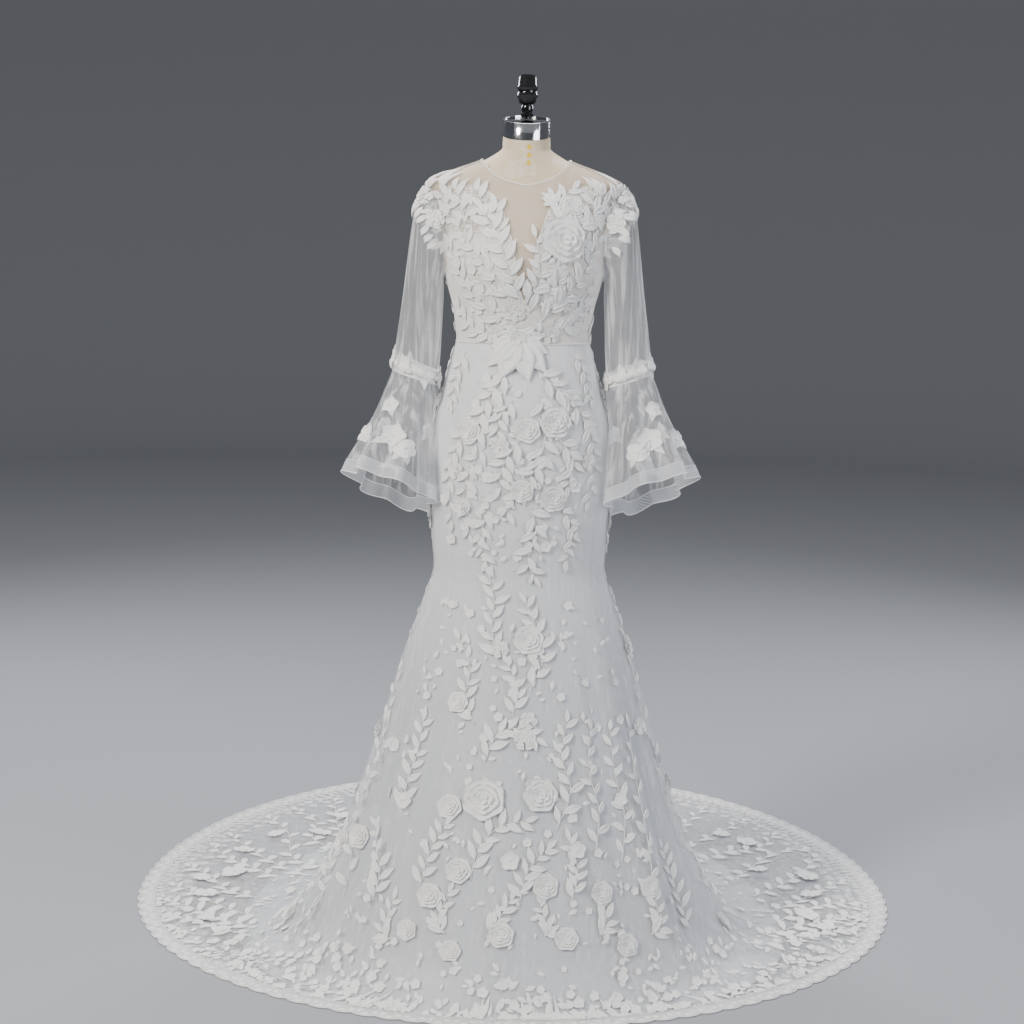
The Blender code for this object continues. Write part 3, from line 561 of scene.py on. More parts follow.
def add(tree, kind, sockets=None, **settings):
    """Adds a node with its settings, and sets or links its sockets."""
    made = tree.nodes.new(kind)
    for name, value in settings.items():
        setattr(made, name, value)
    for key, value in (sockets or {}).items():
        if isinstance(value, bpy.types.NodeSocket):
            tree.links.new(value, made.inputs[key])
        else:
            made.inputs[key].default_value = value
    return made


def new_material(name, colour, roughness, **sockets):
    """A material, its node tree, its shader and the object's own coordinates in metres."""
    made = bpy.data.materials.new(name)
    made.use_nodes = True
    tree = made.node_tree
    shader = tree.nodes["Principled BSDF"]
    shader.inputs["Base Color"].default_value = linear(colour)
    shader.inputs["Roughness"].default_value = roughness
    for key, value in sockets.items():
        shader.inputs[key.replace("_", " ")].default_value = value
    place = add(tree, "ShaderNodeTexCoord").outputs["Object"]
    return made, tree, shader, place


def spread(tree, value, low, high, to_low, to_high):
    """A value's range, stretched to another."""
    sockets = {"Value": value, "From Min": low, "From Max": high}
    sockets.update({"To Min": to_low, "To Max": to_high})
    return add(tree, "ShaderNodeMapRange", sockets).outputs["Result"]


def noise(tree, place, size, detail=3.0):
    """Soft uneven noise whose spots are about size metres wide."""
    sockets = {"Vector": place, "Scale": 1 / size, "Detail": detail}
    return add(tree, "ShaderNodeTexNoise", sockets).outputs["Fac"]


def mixed(tree, share, low, high):
    """A colour between two, by a share from 0 to 1."""
    sockets = {"Factor": share, MIX_A: low, MIX_B: high}
    return add(tree, "ShaderNodeMix", sockets, data_type="RGBA").outputs[MIX_OUT]


def bumped(tree, shader, height, depth, strength=0.6):
    """Relief of the given depth in metres on a shader."""
    sockets = {"Height": height, "Distance": depth, "Strength": strength}
    bump = add(tree, "ShaderNodeBump", sockets)
    tree.links.new(bump.outputs["Normal"], shader.inputs["Normal"])


def net_threads(tree, place, hole):
    """Thread of a hexagonal net, 1 on the thread and 0 in the holes."""
    sockets = {"Vector": place, "Scale": 1 / hole}
    cells = add(tree, "ShaderNodeTexVoronoi", sockets, feature="DISTANCE_TO_EDGE")
    return spread(tree, cells.outputs["Distance"], 0.04, 0.16, 1.0, 0.0)


def soft_tulle(name, thin, thick, lines, colour="f1f2f4"):
    """Bobbinet tulle: a fine twisted net, milky where it doubles and clear where it is flat."""
    made, tree, shader, place = new_material(name, colour, 0.72, Sheen_Weight=0.25)
    threads = net_threads(tree, place, 1.1 * MM)
    drift = noise(tree, place, 35 * MM)
    drawn = add(
        tree, "ShaderNodeVectorMath", {0: place, 1: (1.0, 1.0, 0.02)}, operation="MULTIPLY"
    ).outputs[0]
    streaks = spread(tree, noise(tree, drawn, 12 * MM), 0.50, 0.64, 0.0, lines)
    share = add(tree, "ShaderNodeMath", {0: threads, 1: drift}, operation="ADD").outputs[0]
    share = add(tree, "ShaderNodeMath", {0: share, 1: streaks}, operation="ADD").outputs[0]
    tree.links.new(spread(tree, share, 0.5, 1.2 + lines, thin, thick), shader.inputs["Alpha"])
    bumped(tree, shader, threads, 0.15 * MM)
    return made


def illusion_mesh():
    """Stretch illusion mesh dyed to skin beige: hardly seen but for a soft haze on the form."""
    made, tree, shader, place = new_material("illusion_mesh", "e2d5c6", 0.8, Sheen_Weight=0.2)
    threads = net_threads(tree, place, 0.8 * MM)
    tree.links.new(spread(tree, threads, 0.0, 1.0, 0.30, 0.62), shader.inputs["Alpha"])
    bumped(tree, shader, threads, 0.08 * MM)
    return made


def corded_lace():
    """Raised lace motifs: satin-stitched cotton, whose close threads glint along each leaf."""
    made, tree, shader, place = new_material("corded_lace", "f6f5f2", 0.58, Sheen_Weight=0.35)
    warp = noise(tree, place, 9 * MM)
    stitches = add(
        tree,
        "ShaderNodeTexWave",
        {"Vector": place, "Scale": 1 / (2.4 * MM), "Distortion": 5.0, "Detail": 2.0},
        bands_direction="DIAGONAL",
    ).outputs["Fac"]
    colour = mixed(tree, warp, linear("f5f4f1"), linear("fdfdfc"))
    tree.links.new(colour, shader.inputs["Base Color"])
    bumped(tree, shader, stitches, 0.25 * MM)
    return made


CUP_TOP = 1.408


def lace_over_nude(name, cover):
    """Bodice cloth: net embroidered in white sprigs, with a nude lining up to the cups' top."""
    made, tree, shader, place = new_material(name, "ece4da", 0.66, Sheen_Weight=0.3)
    twist = add(tree, "ShaderNodeTexNoise", {"Vector": place, "Scale": 1 / (14 * MM)})
    bent = add(
        tree, "ShaderNodeVectorMath", {0: twist.outputs["Color"], 1: (0.011, 0.011, 0.011)},
        operation="MULTIPLY",
    ).outputs[0]
    bent = add(tree, "ShaderNodeVectorMath", {0: place, 1: bent}, operation="ADD").outputs[0]
    cells = add(
        tree, "ShaderNodeTexVoronoi", {"Vector": bent, "Scale": 1 / (11 * MM)},
        feature="DISTANCE_TO_EDGE",
    ).outputs["Distance"]
    outline = spread(tree, cells, 0.03, 0.10, 1.0, 0.0)
    drift = spread(tree, noise(tree, place, 24 * MM), 0.38, 0.62, cover - 0.35, cover)
    share = add(tree, "ShaderNodeMath", {0: outline, 1: drift}, operation="MAXIMUM").outputs[0]
    colour = mixed(tree, share, linear("e8d8c8"), linear("faf9f7"))
    tree.links.new(colour, shader.inputs["Base Color"])
    height = add(tree, "ShaderNodeSeparateXYZ", {"Vector": place}).outputs["Z"]
    lined = spread(tree, height, CUP_TOP - 5 * MM, CUP_TOP + 5 * MM, 1.0, 0.24)
    sewn = spread(tree, share, 0.0, 1.0, 0.24, 1.0)
    shown = add(tree, "ShaderNodeMath", {0: lined, 1: sewn}, operation="MAXIMUM").outputs[0]
    tree.links.new(shown, shader.inputs["Alpha"])
    relief = add(
        tree, "ShaderNodeMath", {0: outline, 1: net_threads(tree, place, 1.2 * MM)},
        operation="ADD",
    ).outputs[0]
    bumped(tree, shader, relief, 0.35 * MM)
    return made


def lining_satin():
    """Duchess satin lining: a low, wide gloss, with painted shade that keeps it bright on the hip and
    greys it in the wide skirt.
    """
    made, tree, shader, place = new_material("lining_satin", "e2e5e9", 0.42, Sheen_Weight=0.15)
    # Painted shade: the colour darkens from the hip down towards the floor, standing in for light that
    # falls off lower down.
    height = add(tree, "ShaderNodeSeparateXYZ", {"Vector": place}).outputs["Z"]
    share = spread(tree, height, 0.55, 0.95, 0.0, 1.0)
    colour = mixed(tree, share, linear("c6cacf"), linear("f2f3f4"))
    tree.links.new(colour, shader.inputs["Base Color"])
    weave = add(
        tree, "ShaderNodeTexWave", {"Vector": place, "Scale": 1 / (1.6 * MM), "Distortion": 1.0},
        bands_direction="Z",
    ).outputs["Fac"]
    rough = spread(tree, noise(tree, place, 30 * MM), 0.3, 0.7, 0.38, 0.50)
    tree.links.new(rough, shader.inputs["Roughness"])
    bumped(tree, shader, weave, 0.05 * MM, 0.4)
    return made


def horsehair_braid():
    """Crin braid: slanting nylon filaments, glassy, with a white rolled edge."""
    made, tree, shader, place = new_material("horsehair_braid", "eef1f5", 0.38, Sheen_Weight=0.1)
    lines = add(
        tree, "ShaderNodeTexWave", {"Vector": place, "Scale": 1 / (7 * MM), "Distortion": 1.5},
        bands_direction="DIAGONAL",
    ).outputs["Fac"]
    tree.links.new(spread(tree, lines, 0.0, 1.0, 0.34, 0.72), shader.inputs["Alpha"])
    bumped(tree, shader, lines, 0.2 * MM)
    return made


def button_satin():
    """Satin pulled over a button's dome: smooth, with a small soft highlight."""
    made, tree, shader, place = new_material("button_satin", "f2f0ec", 0.34, Sheen_Weight=0.2)
    bumped(tree, shader, noise(tree, place, 1.2 * MM), 0.05 * MM, 0.3)
    return made


def form_canvas():
    """Linen canvas glued over papier mache: warm cream, patched, with scuffs and dark flecks."""
    made, tree, shader, place = new_material("form_canvas", "dcc8a8", 0.82, Sheen_Weight=0.1)
    patches = add(
        tree, "ShaderNodeTexVoronoi", {"Vector": place, "Scale": 1 / (26 * MM)},
    ).outputs["Color"]
    tape = spread(tree, patches, 0.35, 0.75, 0.0, 1.0)
    blotch = spread(tree, noise(tree, place, 18 * MM, 6.0), 0.35, 0.70, 0.0, 1.0)
    share = add(tree, "ShaderNodeMath", {0: tape, 1: blotch}, operation="MULTIPLY").outputs[0]
    colour = mixed(tree, share, linear("dcc9a9"), linear("ecdfd0"))
    flecks = spread(tree, noise(tree, place, 2.2 * MM, 1.0), 0.74, 0.80, 0.0, 0.55)
    colour = mixed(tree, flecks, colour, linear("5d5044"))
    tree.links.new(colour, shader.inputs["Base Color"])
    weave = add(
        tree, "ShaderNodeTexWave", {"Vector": place, "Scale": 1 / (4 * MM), "Distortion": 2.0},
        bands_direction="Z",
    ).outputs["Fac"]
    bumped(tree, shader, weave, 0.12 * MM)
    return made


def chrome():
    """Polished chrome on the neck ring: mirror bright, with faint fingerprints in the gloss."""
    made, tree, shader, place = new_material("chrome", "d9dadc", 0.10, Metallic=1.0)
    rough = spread(tree, noise(tree, place, 12 * MM), 0.3, 0.7, 0.07, 0.17)
    tree.links.new(rough, shader.inputs["Roughness"])
    return made


def turned_black():
    """Black lacquer over turned wood: a deep gloss with fine rings left by the chisel."""
    made, tree, shader, place = new_material("turned_black", "0b0b0d", 0.16, Coat_Weight=0.5)
    rings = add(
        tree, "ShaderNodeTexWave", {"Vector": place, "Scale": 1 / (9 * MM), "Distortion": 0.4},
        bands_direction="Z",
    ).outputs["Fac"]
    bumped(tree, shader, rings, 0.05 * MM, 0.3)
    return made


def brushed_steel():
    """Steel tube, brushed round and round: a long soft highlight down its length."""
    made, tree, shader, place = new_material("brushed_steel", "a9abad", 0.30, Metallic=1.0)
    brush = add(
        tree, "ShaderNodeTexWave", {"Vector": place, "Scale": 1 / (3 * MM), "Distortion": 3.0},
        bands_direction="Z",
    ).outputs["Fac"]
    tree.links.new(spread(tree, brush, 0.0, 1.0, 0.24, 0.38), shader.inputs["Roughness"])
    return made


def cast_paint():
    """Satin black paint on the iron foot: slightly pebbled, duller where feet have rubbed it."""
    made, tree, shader, place = new_material("cast_paint", "17171a", 0.42)
    rub = spread(tree, noise(tree, place, 40 * MM), 0.3, 0.7, 0.34, 0.58)
    tree.links.new(rub, shader.inputs["Roughness"])
    bumped(tree, shader, noise(tree, place, 3 * MM), 0.2 * MM)
    return made


def yellow_pencil():
    """Wax pencil: a matt yellow that lets a little canvas through."""
    made, tree, shader, place = new_material("yellow_pencil", "e6c41c", 0.7)
    grain = spread(tree, noise(tree, place, 0.8 * MM), 0.35, 0.65, 0.0, 1.0)
    colour = mixed(tree, grain, linear("dcb51c"), linear("f4d524"))
    tree.links.new(colour, shader.inputs["Base Color"])
    return made


def studio_paper():
    """Matt studio paper under and behind the gown: plain grey with a hardly seen tooth."""
    made, tree, shader, place = new_material("studio_paper", "9b9da2", 0.9)
    bumped(tree, shader, noise(tree, place, 4 * MM), 0.1 * MM, 0.2)
    return made


FINISHES = {}


def finish(maker, *options):
    """The material that a maker function gives, made only once."""
    key = (maker.__name__, *options)
    if key not in FINISHES:
        FINISHES[key] = maker(*options)
    return FINISHES[key]


# Dress form


def on_neck(spots):
    """Places on the tilted neck, from ones on an upright axis."""
    x, y, z = np.moveaxis(spots, -1, 0)
    return np.stack([x, y + NECK_MID, z + NECK_TILT * y], -1)


def form_rings(segments, rise=90):
    """The form's rings, from its lower edge to the top of its neck."""
    angle = np.arange(segments)[:, None] * 2 * math.pi / segments
    z = np.linspace(FORM_BOTTOM, FORM_EASE[-1].z, rise)[None, :]
    ease = np.interp(z, [r.z for r in FORM_EASE], [r.ease for r in FORM_EASE])
    level_edge = (z == FORM_BOTTOM)[..., None]
    away = facing(body_point, angle, z) * np.where(level_edge, (1, 1, 0), (1, 1, 1))
    return body_point(angle + 0 * z, z + 0 * angle) - away * ease[..., None]


def neck_rings(angle):
    """Rings from just above the shoulders to the neck's top, on a smooth curve."""
    rings = [form_ring(angle, FORM_EASE[-1].z - drop) for drop in (0.010, 0.0)]
    for z, radius, share in ((1.560, 0.0490, 0.4), (1.573, 0.0450, 0.8), (NECK_TOP, 0.0440, 1)):
        x, y = radius * np.cos(angle), radius * np.sin(angle)
        rings.append(np.stack([x, y + NECK_MID * share, z + NECK_TILT * share * y], -1))
    flat = np.stack(rings).reshape(len(rings), -1)
    levels = np.linspace(1, len(rings) - 1, 14)[1:]
    return smooth(flat, levels).reshape(len(levels), *rings[0].shape)


def form_ring(angle, z):
    ease = np.interp(z, [r.z for r in FORM_EASE], [r.ease for r in FORM_EASE])
    return body_point(angle, z) - facing(body_point, angle, z) * ease


def form_surface(segments=120):
    """Points of the form, column by column, with its lower end closed."""
    angle = np.arange(segments) * 2 * math.pi / segments
    body = form_rings(segments)
    neck = np.moveaxis(neck_rings(angle), 0, 1)
    middle = np.array([0.0, 0.0, FORM_BOTTOM]) + 0 * body[:, :1]
    top = np.array([0.0, NECK_MID, NECK_TOP]) + 0 * body[:, :1]
    return np.concatenate([middle, body, neck, top], 1)


def build_form(settings):
    """Torso, neck ring, plate, finial, pole and foot of the dress form."""
    spots = form_surface()
    shape = (spots, grid_quads(spots.shape[0], spots.shape[1], True))
    canvas = finish(form_canvas)
    add_piece("Form_torso", shape, canvas, "form_cover", ["form_body"], sharp=60)
    low, high = NECK_TOP + 0.3 * MM, NECK_TOP + RING_H
    lip = 0.6 * MM
    outer = [TurnRow(low, RING_R - lip), TurnRow(low + lip, RING_R), TurnRow(high - lip, RING_R)]
    inner = RING_R - RING_WALL
    rows = [*outer, TurnRow(high, RING_R - lip), TurnRow(high, inner), TurnRow(low, inner)]
    spots, _ = turned(rows, 96, on_neck)
    ring = (spots[:, 1:-1], grid_quads(96, len(rows), True))
    around = (ring[0][:, [*range(len(rows)), 0]], grid_quads(96, len(rows) + 1, True))
    add_piece("Neck_ring", around, finish(chrome), "chrome_band", ["form_neck_ring"], sharp=40)
    black = finish(turned_black)
    plate = inner - 0.3 * MM
    rows = [TurnRow(low, plate), TurnRow(high - 2.2 * MM, plate), TurnRow(high - 1.5 * MM, plate - MM)]
    shape = turned(rows, 72, on_neck)
    add_piece("Neck_plate", shape, black, "black_turned", ["form_neck_plate"], sharp=40)
    shape = turned(FINIAL, 72, lambda spots: spots + (0, NECK_MID, 0))
    add_piece("Finial", shape, black, "black_turned", ["form_finial"], sharp=40)
    marks = []
    for z in NECK_MARKS:
        marks.append(neck_mark(z))
    add_piece("Neck_marks", joined(marks), finish(yellow_pencil), "form_cover")
    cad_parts["form_pole"].data.materials[0] = finish(brushed_steel)
    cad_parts["form_base"].data.materials[0] = finish(cast_paint)


NECK_MARKS = (1.566, 1.551, 1.537)
NECK_FOOT = 1.515


def neck_mark(z):
    """A round pencil mark on the front of the neck."""
    angle = -math.pi / 2 + np.linspace(-0.07, 0.12, 9)
    rings = neck_rings(angle)
    low = [form_ring(angle, level)[None] for level in (NECK_FOOT, FORM_EASE[-1].z)]
    spots = np.concatenate([*low, rings])
    heights = spots[:, 4, 2]
    radius = 4.4 * MM
    turns = np.linspace(0, 2 * math.pi, 17)
    reach = np.array([0.0, 0.6, 1.0]) * radius
    x = 5 * MM + np.cos(turns)[:, None] * reach
    up = z + np.sin(turns)[:, None] * reach
    y = np.interp(up, heights, spots[:, 4, 1])
    bulge = 0.5 * x**2 / RING_R
    return np.stack([x, y + bulge - 0.4 * MM, up], -1), grid_quads(17, 3)


# Cloth


def across_from(middle, count, power):
    """Places from -1 to 1, closer together towards the middle."""
    share = np.linspace(-1, 1, count)
    return np.sign(share) * np.abs(share) ** power + middle


def build_lining(settings):
    """Satin lining, front and backs, from the waist seam to its hem on the floor."""
    panels = (
        ("front", -math.pi, 0.0),
        ("back_left", 0.0, math.pi / 2),
        ("back_right", math.pi / 2, math.pi),
    )
    for name, start, end in panels:
        angle = np.linspace(start, end, 97 if name == "front" else 49)[:, None]
        share = np.linspace(0, 1, 121)[None, :] ** 0.9
        hem = lining_hem(angle)
        level = hem + (SKIRT_TOP - hem) * share
        inside = LINING_INSIDE * np.clip(SKIRT_TOP - level, 0.35, 1.0)
        away = facing(skirt_base, angle, level, 0.0, SKIRT_TOP)
        spots = skirt_base(angle, level) - away * inside[..., None]
        spots[..., 2] = np.maximum(spots[..., 2], 0.5 * MM)
        add_sheet(
            f"Lining_{name}",
            spots,
            finish(lining_satin),
            "lining_satin",
            "hung",
            ["form_body"],
            stands_for=[f"lining_{name}"],
        )


def build_skirt(settings):
    """Tulle over-skirt with its train, in a front and two backs, and its waist seam."""
    panels = (
        ("front", -math.pi, 0.0, 209),
        ("back_left", 0.0, math.pi / 2, 129),
        ("back_right", math.pi / 2, math.pi, 129),
    )
    levels = np.concatenate([np.linspace(0, 5, 91), np.linspace(5, SKIRT_TOP, 71)[1:]])
    tulle = finish(soft_tulle, "skirt_tulle", 0.18, 0.62, 0.7)
    for name, start, end, count in panels:
        spots = grid_points(skirt_point, np.linspace(start, end, count), levels)
        add_sheet(
            f"Skirt_{name}",
            spots,
            tulle,
            "tulle",
            "hung",
            [f"Lining_{name}"],
            stands_for=[f"skirt_{name}"],
        )
    angle = np.linspace(0, 2 * math.pi, 181)[:-1]
    spots = body_point(angle, WAIST_Z) + facing(body_point, angle, WAIST_Z) * 0.6 * MM
    seam = cord(spots, 0.9 * MM, 6, True)
    add_piece("Waist_seam", seam, finish(corded_lace), "corded_lace")


NECK_ROUND = 0.07


def build_bodice(settings):
    """Lace bodice and sheer yoke, front and back, with the neckline's binding."""
    us = across_from(0, 121, 1.2)
    ups = np.linspace(0, 1, 61)
    plunge = lambda u: curve_z(PLUNGE, u)
    neck = lambda u: curve_z(NECKLINE, np.minimum(np.hypot(u, NECK_ROUND), 1.0))
    waist = lambda u: WAIST_Z + 0 * u
    lace = finish(lace_over_nude, "bodice_lace", 0.75)
    mesh = finish(illusion_mesh)
    spots = grid_points(front_panel(waist, plunge), us, ups)
    more = {"cut": "level", "stands_for": ["bodice_front"]}
    add_sheet("Bodice_front", spots, lace, "corded_lace", "stretched", ["form_body"], **more)
    spots = grid_points(front_panel(plunge, neck), us, ups)
    more = {"cut": "level", "stands_for": ["yoke_front"]}
    add_sheet("Yoke_front", spots, mesh, "illusion_mesh", "stretched", ["form_body"], **more)
    back_top = lambda u: curve_z(BACK_TOP, u)
    back_neck = lambda u: curve_z(BACK_NECK, u)
    for side in ("left", "right"):
        turn = mirrored if side == "right" else np.array
        spots = turn(grid_points(back_panel(waist, back_top), np.linspace(0, 1, 61), ups))
        add_sheet(
            f"Bodice_back_{side}",
            spots,
            lace,
            "corded_lace",
            "stretched",
            ["form_body"],
            stands_for=[f"bodice_back_{side}"],
        )
        spots = turn(grid_points(back_panel(back_top, back_neck), np.linspace(0, 1, 61), ups[::2]))
        add_sheet(
            f"Yoke_back_{side}",
            spots,
            mesh,
            "illusion_mesh",
            "stretched",
            ["form_body"],
            stands_for=[f"yoke_back_{side}"],
        )
    build_binding(neck, back_neck)


def build_binding(neck, back_neck):
    """The narrow rolled binding all round the neckline."""
    front = front_panel(neck, neck)(np.linspace(-1, 1, 121), 0.5)
    left = back_panel(back_neck, back_neck)(np.linspace(0, 1, 61), 0.5)
    right = (left * (-1, 1, 1))[::-1]
    loop = np.concatenate([front, left[1:], right[1:-1]])
    shape = cord(loop, 1.1 * MM, 8, True)
    add_piece("Neck_binding", shape, finish(corded_lace), "corded_lace")


def build_closing(settings):
    """Placket down the centre back with covered buttons and their loops."""
    heights = np.linspace(WAIST_Z, BACK_NECK[-1].z, 61)

    def strip(u, z):
        return body_point(math.pi / 2 + u * PLACKET_HALF / body_rows(z)[0], z)

    us = np.linspace(-1, 1, 9)
    u, z = np.meshgrid(us, heights, indexing="ij")
    spots = strip(u, z) + outward(strip, u, z) * 2.2 * MM
    lace = finish(corded_lace)
    more = {"cut": "strip", "stands_for": ["placket"]}
    add_sheet("Placket", spots, lace, "corded_lace", "laid", ["Bodice_back_left"], **more)
    margin = 18 * MM
    places = np.linspace(heights[0] + margin, heights[-1] - margin, BUTTON_COUNT)
    loops = []
    for n, z in enumerate(places):
        middle = strip(np.array(0.0), np.array(z))
        away = outward(strip, np.array(0.0), np.array(z))
        shape = button(middle + away * 2.8 * MM, away)
        name = f"{n + 1:02d}"
        satin = finish(button_satin)
        add_piece(f"Button_{name}", shape, satin, "covered_button", [f"button_{name}"])
        loops.append(button_loop(middle + away * 3.0 * MM, away))
    add_piece("Button_loops", joined(loops), lace, "corded_lace")


def outward(surface, u, v):
    """Unit vector away from the body, level with the ground in x."""
    away = facing(surface, u, v)
    spot = surface(u, v)
    side = np.sum(away[..., :2] * spot[..., :2], -1, keepdims=True)
    return away * np.where(side < 0, -1.0, 1.0)


def frame_of(away):
    """Level and upright directions in the cloth at a place, from the way out of it."""
    side = np.cross((0.0, 0.0, 1.0), away)
    side /= np.linalg.norm(side)
    return side, np.cross(away, side)


def button(middle, away):
    """A domed covered button."""
    side, up = frame_of(away)
    shares = np.array([0.0, 0.9, 1.0, 0.96, 0.8, 0.5, 0.0])
    heights = np.array([0.0, 0.0, 0.9, 1.8, 2.9, 3.5, 3.8]) * MM
    turns = np.arange(20)[:, None] * 2 * math.pi / 20
    reach = (np.cos(turns) * shares * BUTTON_R)[..., None] * side
    reach = reach + (np.sin(turns) * shares * BUTTON_R)[..., None] * up
    return middle + reach + heights[:, None] * away, grid_quads(20, len(shares), True)


def button_loop(middle, away):
    """A thin elastic loop round a button's shank."""
    side, up = frame_of(away)
    turns = np.linspace(math.radians(60), math.radians(300), 15)[:, None]
    path = middle + (side * np.cos(turns) + up * np.sin(turns)) * BUTTON_R * 1.15
    return cord(np.concatenate([path, path[-1:] + side * 4 * MM]), 0.45 * MM, 5)


def both_sides(points):
    """The wearer's left piece as it is, and its mirror for the right."""
    return (("left", points), ("right", mirrored(points)))


def build_sleeves(settings):
    """Sheer sleeves, elbow bands, fluted bells and their braid hems."""
    turns = np.arange(120) * 2 * math.pi / 120
    bell_turns = np.arange(168) * 2 * math.pi / 168
    sheer = finish(soft_tulle, "sleeve_tulle", 0.12, 0.62, 2.0)
    band = finish(lace_over_nude, "band_lace", 1.2)
    stretches = (
        ("Sleeve", "sleeve", turns, np.linspace(BAND_TOP, ARM_TOP, 90), sheer, "tulle", "fan"),
        ("Bell", "bell", bell_turns, np.linspace(BRAID_TOP, BELL_TOP, 50), sheer, "tulle", "fan"),
        (
            "Bell_hem",
            "bell_hem",
            bell_turns,
            np.linspace(0, BRAID_TOP, 10),
            finish(horsehair_braid),
            "horsehair_braid",
            "strip",
        ),
    )
    for name, node, around, levels, cloth, slot, cut in stretches:
        points = grid_points(arm_point, around, levels)
        for side, spots in both_sides(points):
            add_sheet(
                f"{name}_{side}",
                spots,
                cloth,
                slot,
                "hung",
                [f"Yoke_back_{side}"],
                around=True,
                cut=cut,
                stands_for=[f"{node}_{side}"],
            )
    points = grid_points(arm_point, turns, np.linspace(BELL_TOP, BAND_TOP, 14))
    for side, spots in both_sides(points):
        more = {"cut": "strip", "around": True, "stands_for": [f"sleeve_band_{side}"]}
        name = f"Elbow_band_{side}"
        add_sheet(name, spots, band, "corded_lace", "hung", [f"Sleeve_{side}"], **more)
    for side, sign in (("left", 1), ("right", -1)):
        cords = []
        for level, thick in ((0.0, 1.0), (BRAID_TOP, 0.6), (BELL_TOP, 0.9), (BAND_TOP, 0.9)):
            path = arm_point(np.arange(240) * 2 * math.pi / 240, level) * (sign, 1, 1)
            cords.append(cord(path, thick * MM, 6, True))
        path = armhole_point(np.arange(120) * 2 * math.pi / 120) * (sign, 1, 1)
        cords.append(cord(path, 0.8 * MM, 6, True))
        add_piece(f"Sleeve_seams_{side}", joined(cords), finish(corded_lace), "corded_lace")


TRAIN_ANGLES = np.linspace(-math.pi, math.pi, 1441)
TRAIN_POINTS = skirt_base(TRAIN_ANGLES, 0.0)
TRAIN_LENGTHS = np.concatenate(
    [[0.0], np.cumsum(np.linalg.norm(np.diff(TRAIN_POINTS, axis=0), axis=1))]
)


def edge_point(along, across):
    """A place by the train's edge: metres along it and metres out from it."""
    angle = np.interp(np.mod(along, TRAIN_LENGTHS[-1]), TRAIN_LENGTHS, TRAIN_ANGLES)
    step = 1e-3
    run = skirt_base(angle + step, 0.0) - skirt_base(angle - step, 0.0)
    size = np.hypot(run[..., 0], run[..., 1])
    away = np.stack([run[..., 1] / size, -run[..., 0] / size, 0 * size], -1)
    return skirt_base(angle, 0.0) + away * np.asarray(across)[..., None]


def build_edging(settings):
    """The net ground of the train's scalloped lace edging."""
    panels = (
        ("front", -math.pi, 0.0),
        ("back_left", 0.0, math.pi / 2),
        ("back_right", math.pi / 2, math.pi),
    )
    net = finish(soft_tulle, "edging_net", 0.50, 1.00, 0.3, "f4f4f3")
    for name, start, end in panels:
        first, last = np.interp((start, end), TRAIN_ANGLES, TRAIN_LENGTHS)
        count = int((last - first) / (5 * MM))
        along = np.linspace(first, last, count)[:, None]
        reach = scallop_reach(along)
        across = np.linspace(0, 1, 7)[None, :] * reach
        spots = edge_point(along + 0 * across, across)
        spots[..., 2] = 1.2 * MM + 0.6 * MM * np.linspace(1, 0, 7)
        add_sheet(
            f"Edging_{name}",
            spots[::-1],
            net,
            "corded_lace",
            "laid",
            [f"Skirt_{name}"],
            cut="strip",
            stands_for=[f"edging_{name}"],
        )


def scallop_reach(along):
    """How far out the edging's scallops reach, in metres, along the train's edge."""
    phase = np.mod(along / SCALLOP, 1.0)
    return EDGING_WIDTH * (0.70 + 0.24 * np.sqrt(np.maximum(np.sin(math.pi * phase), 0.0)))


# Stage

Place = namedtuple("Place", "x y z")
CAMERA = Place(-0.01524, -3.8, 1.40)
CAMERA_DOWN = math.radians(7.85)
CAMERA_ROLL = math.radians(1.0)
PICTURE = 1024
FOCAL_PIXELS = 1994.23
SENSOR_MM = 36.0

# Studio paper: flat out to here, then bent up to a wall
PAPER_MIDDLE = 0.02
PAPER_FLAT = 9.0
PAPER_BEND = 3.0
PAPER_TOP = 6.0
PAPER_SIDES = 96

Lamp = namedtuple("Lamp", "name x y z size power warmth")
LAMPS = [
    Lamp("Key", -2.6, -3.0, 3.2, 0.9, 225.0, "fffaf3"),
    Lamp("Fill", 3.0, -2.6, 2.2, 2.2, 82.0, "f4f7ff"),
    Lamp("Rim_left", -2.4, 2.6, 2.6, 1.2, 70.0, "f4f7ff"),
    Lamp("Rim_right", 2.5, 2.8, 2.4, 1.2, 60.0, "f4f7ff"),
    Lamp("Top", 0.0, 0.6, 4.2, 2.0, 92.0, "ffffff"),
]


def camera_turn():
    """The camera's rotation: level, pitched down, then rolled."""
    pitch = Euler((math.pi / 2 - CAMERA_DOWN, 0.0, 0.0)).to_matrix()
    return pitch @ Euler((0.0, 0.0, CAMERA_ROLL)).to_matrix()


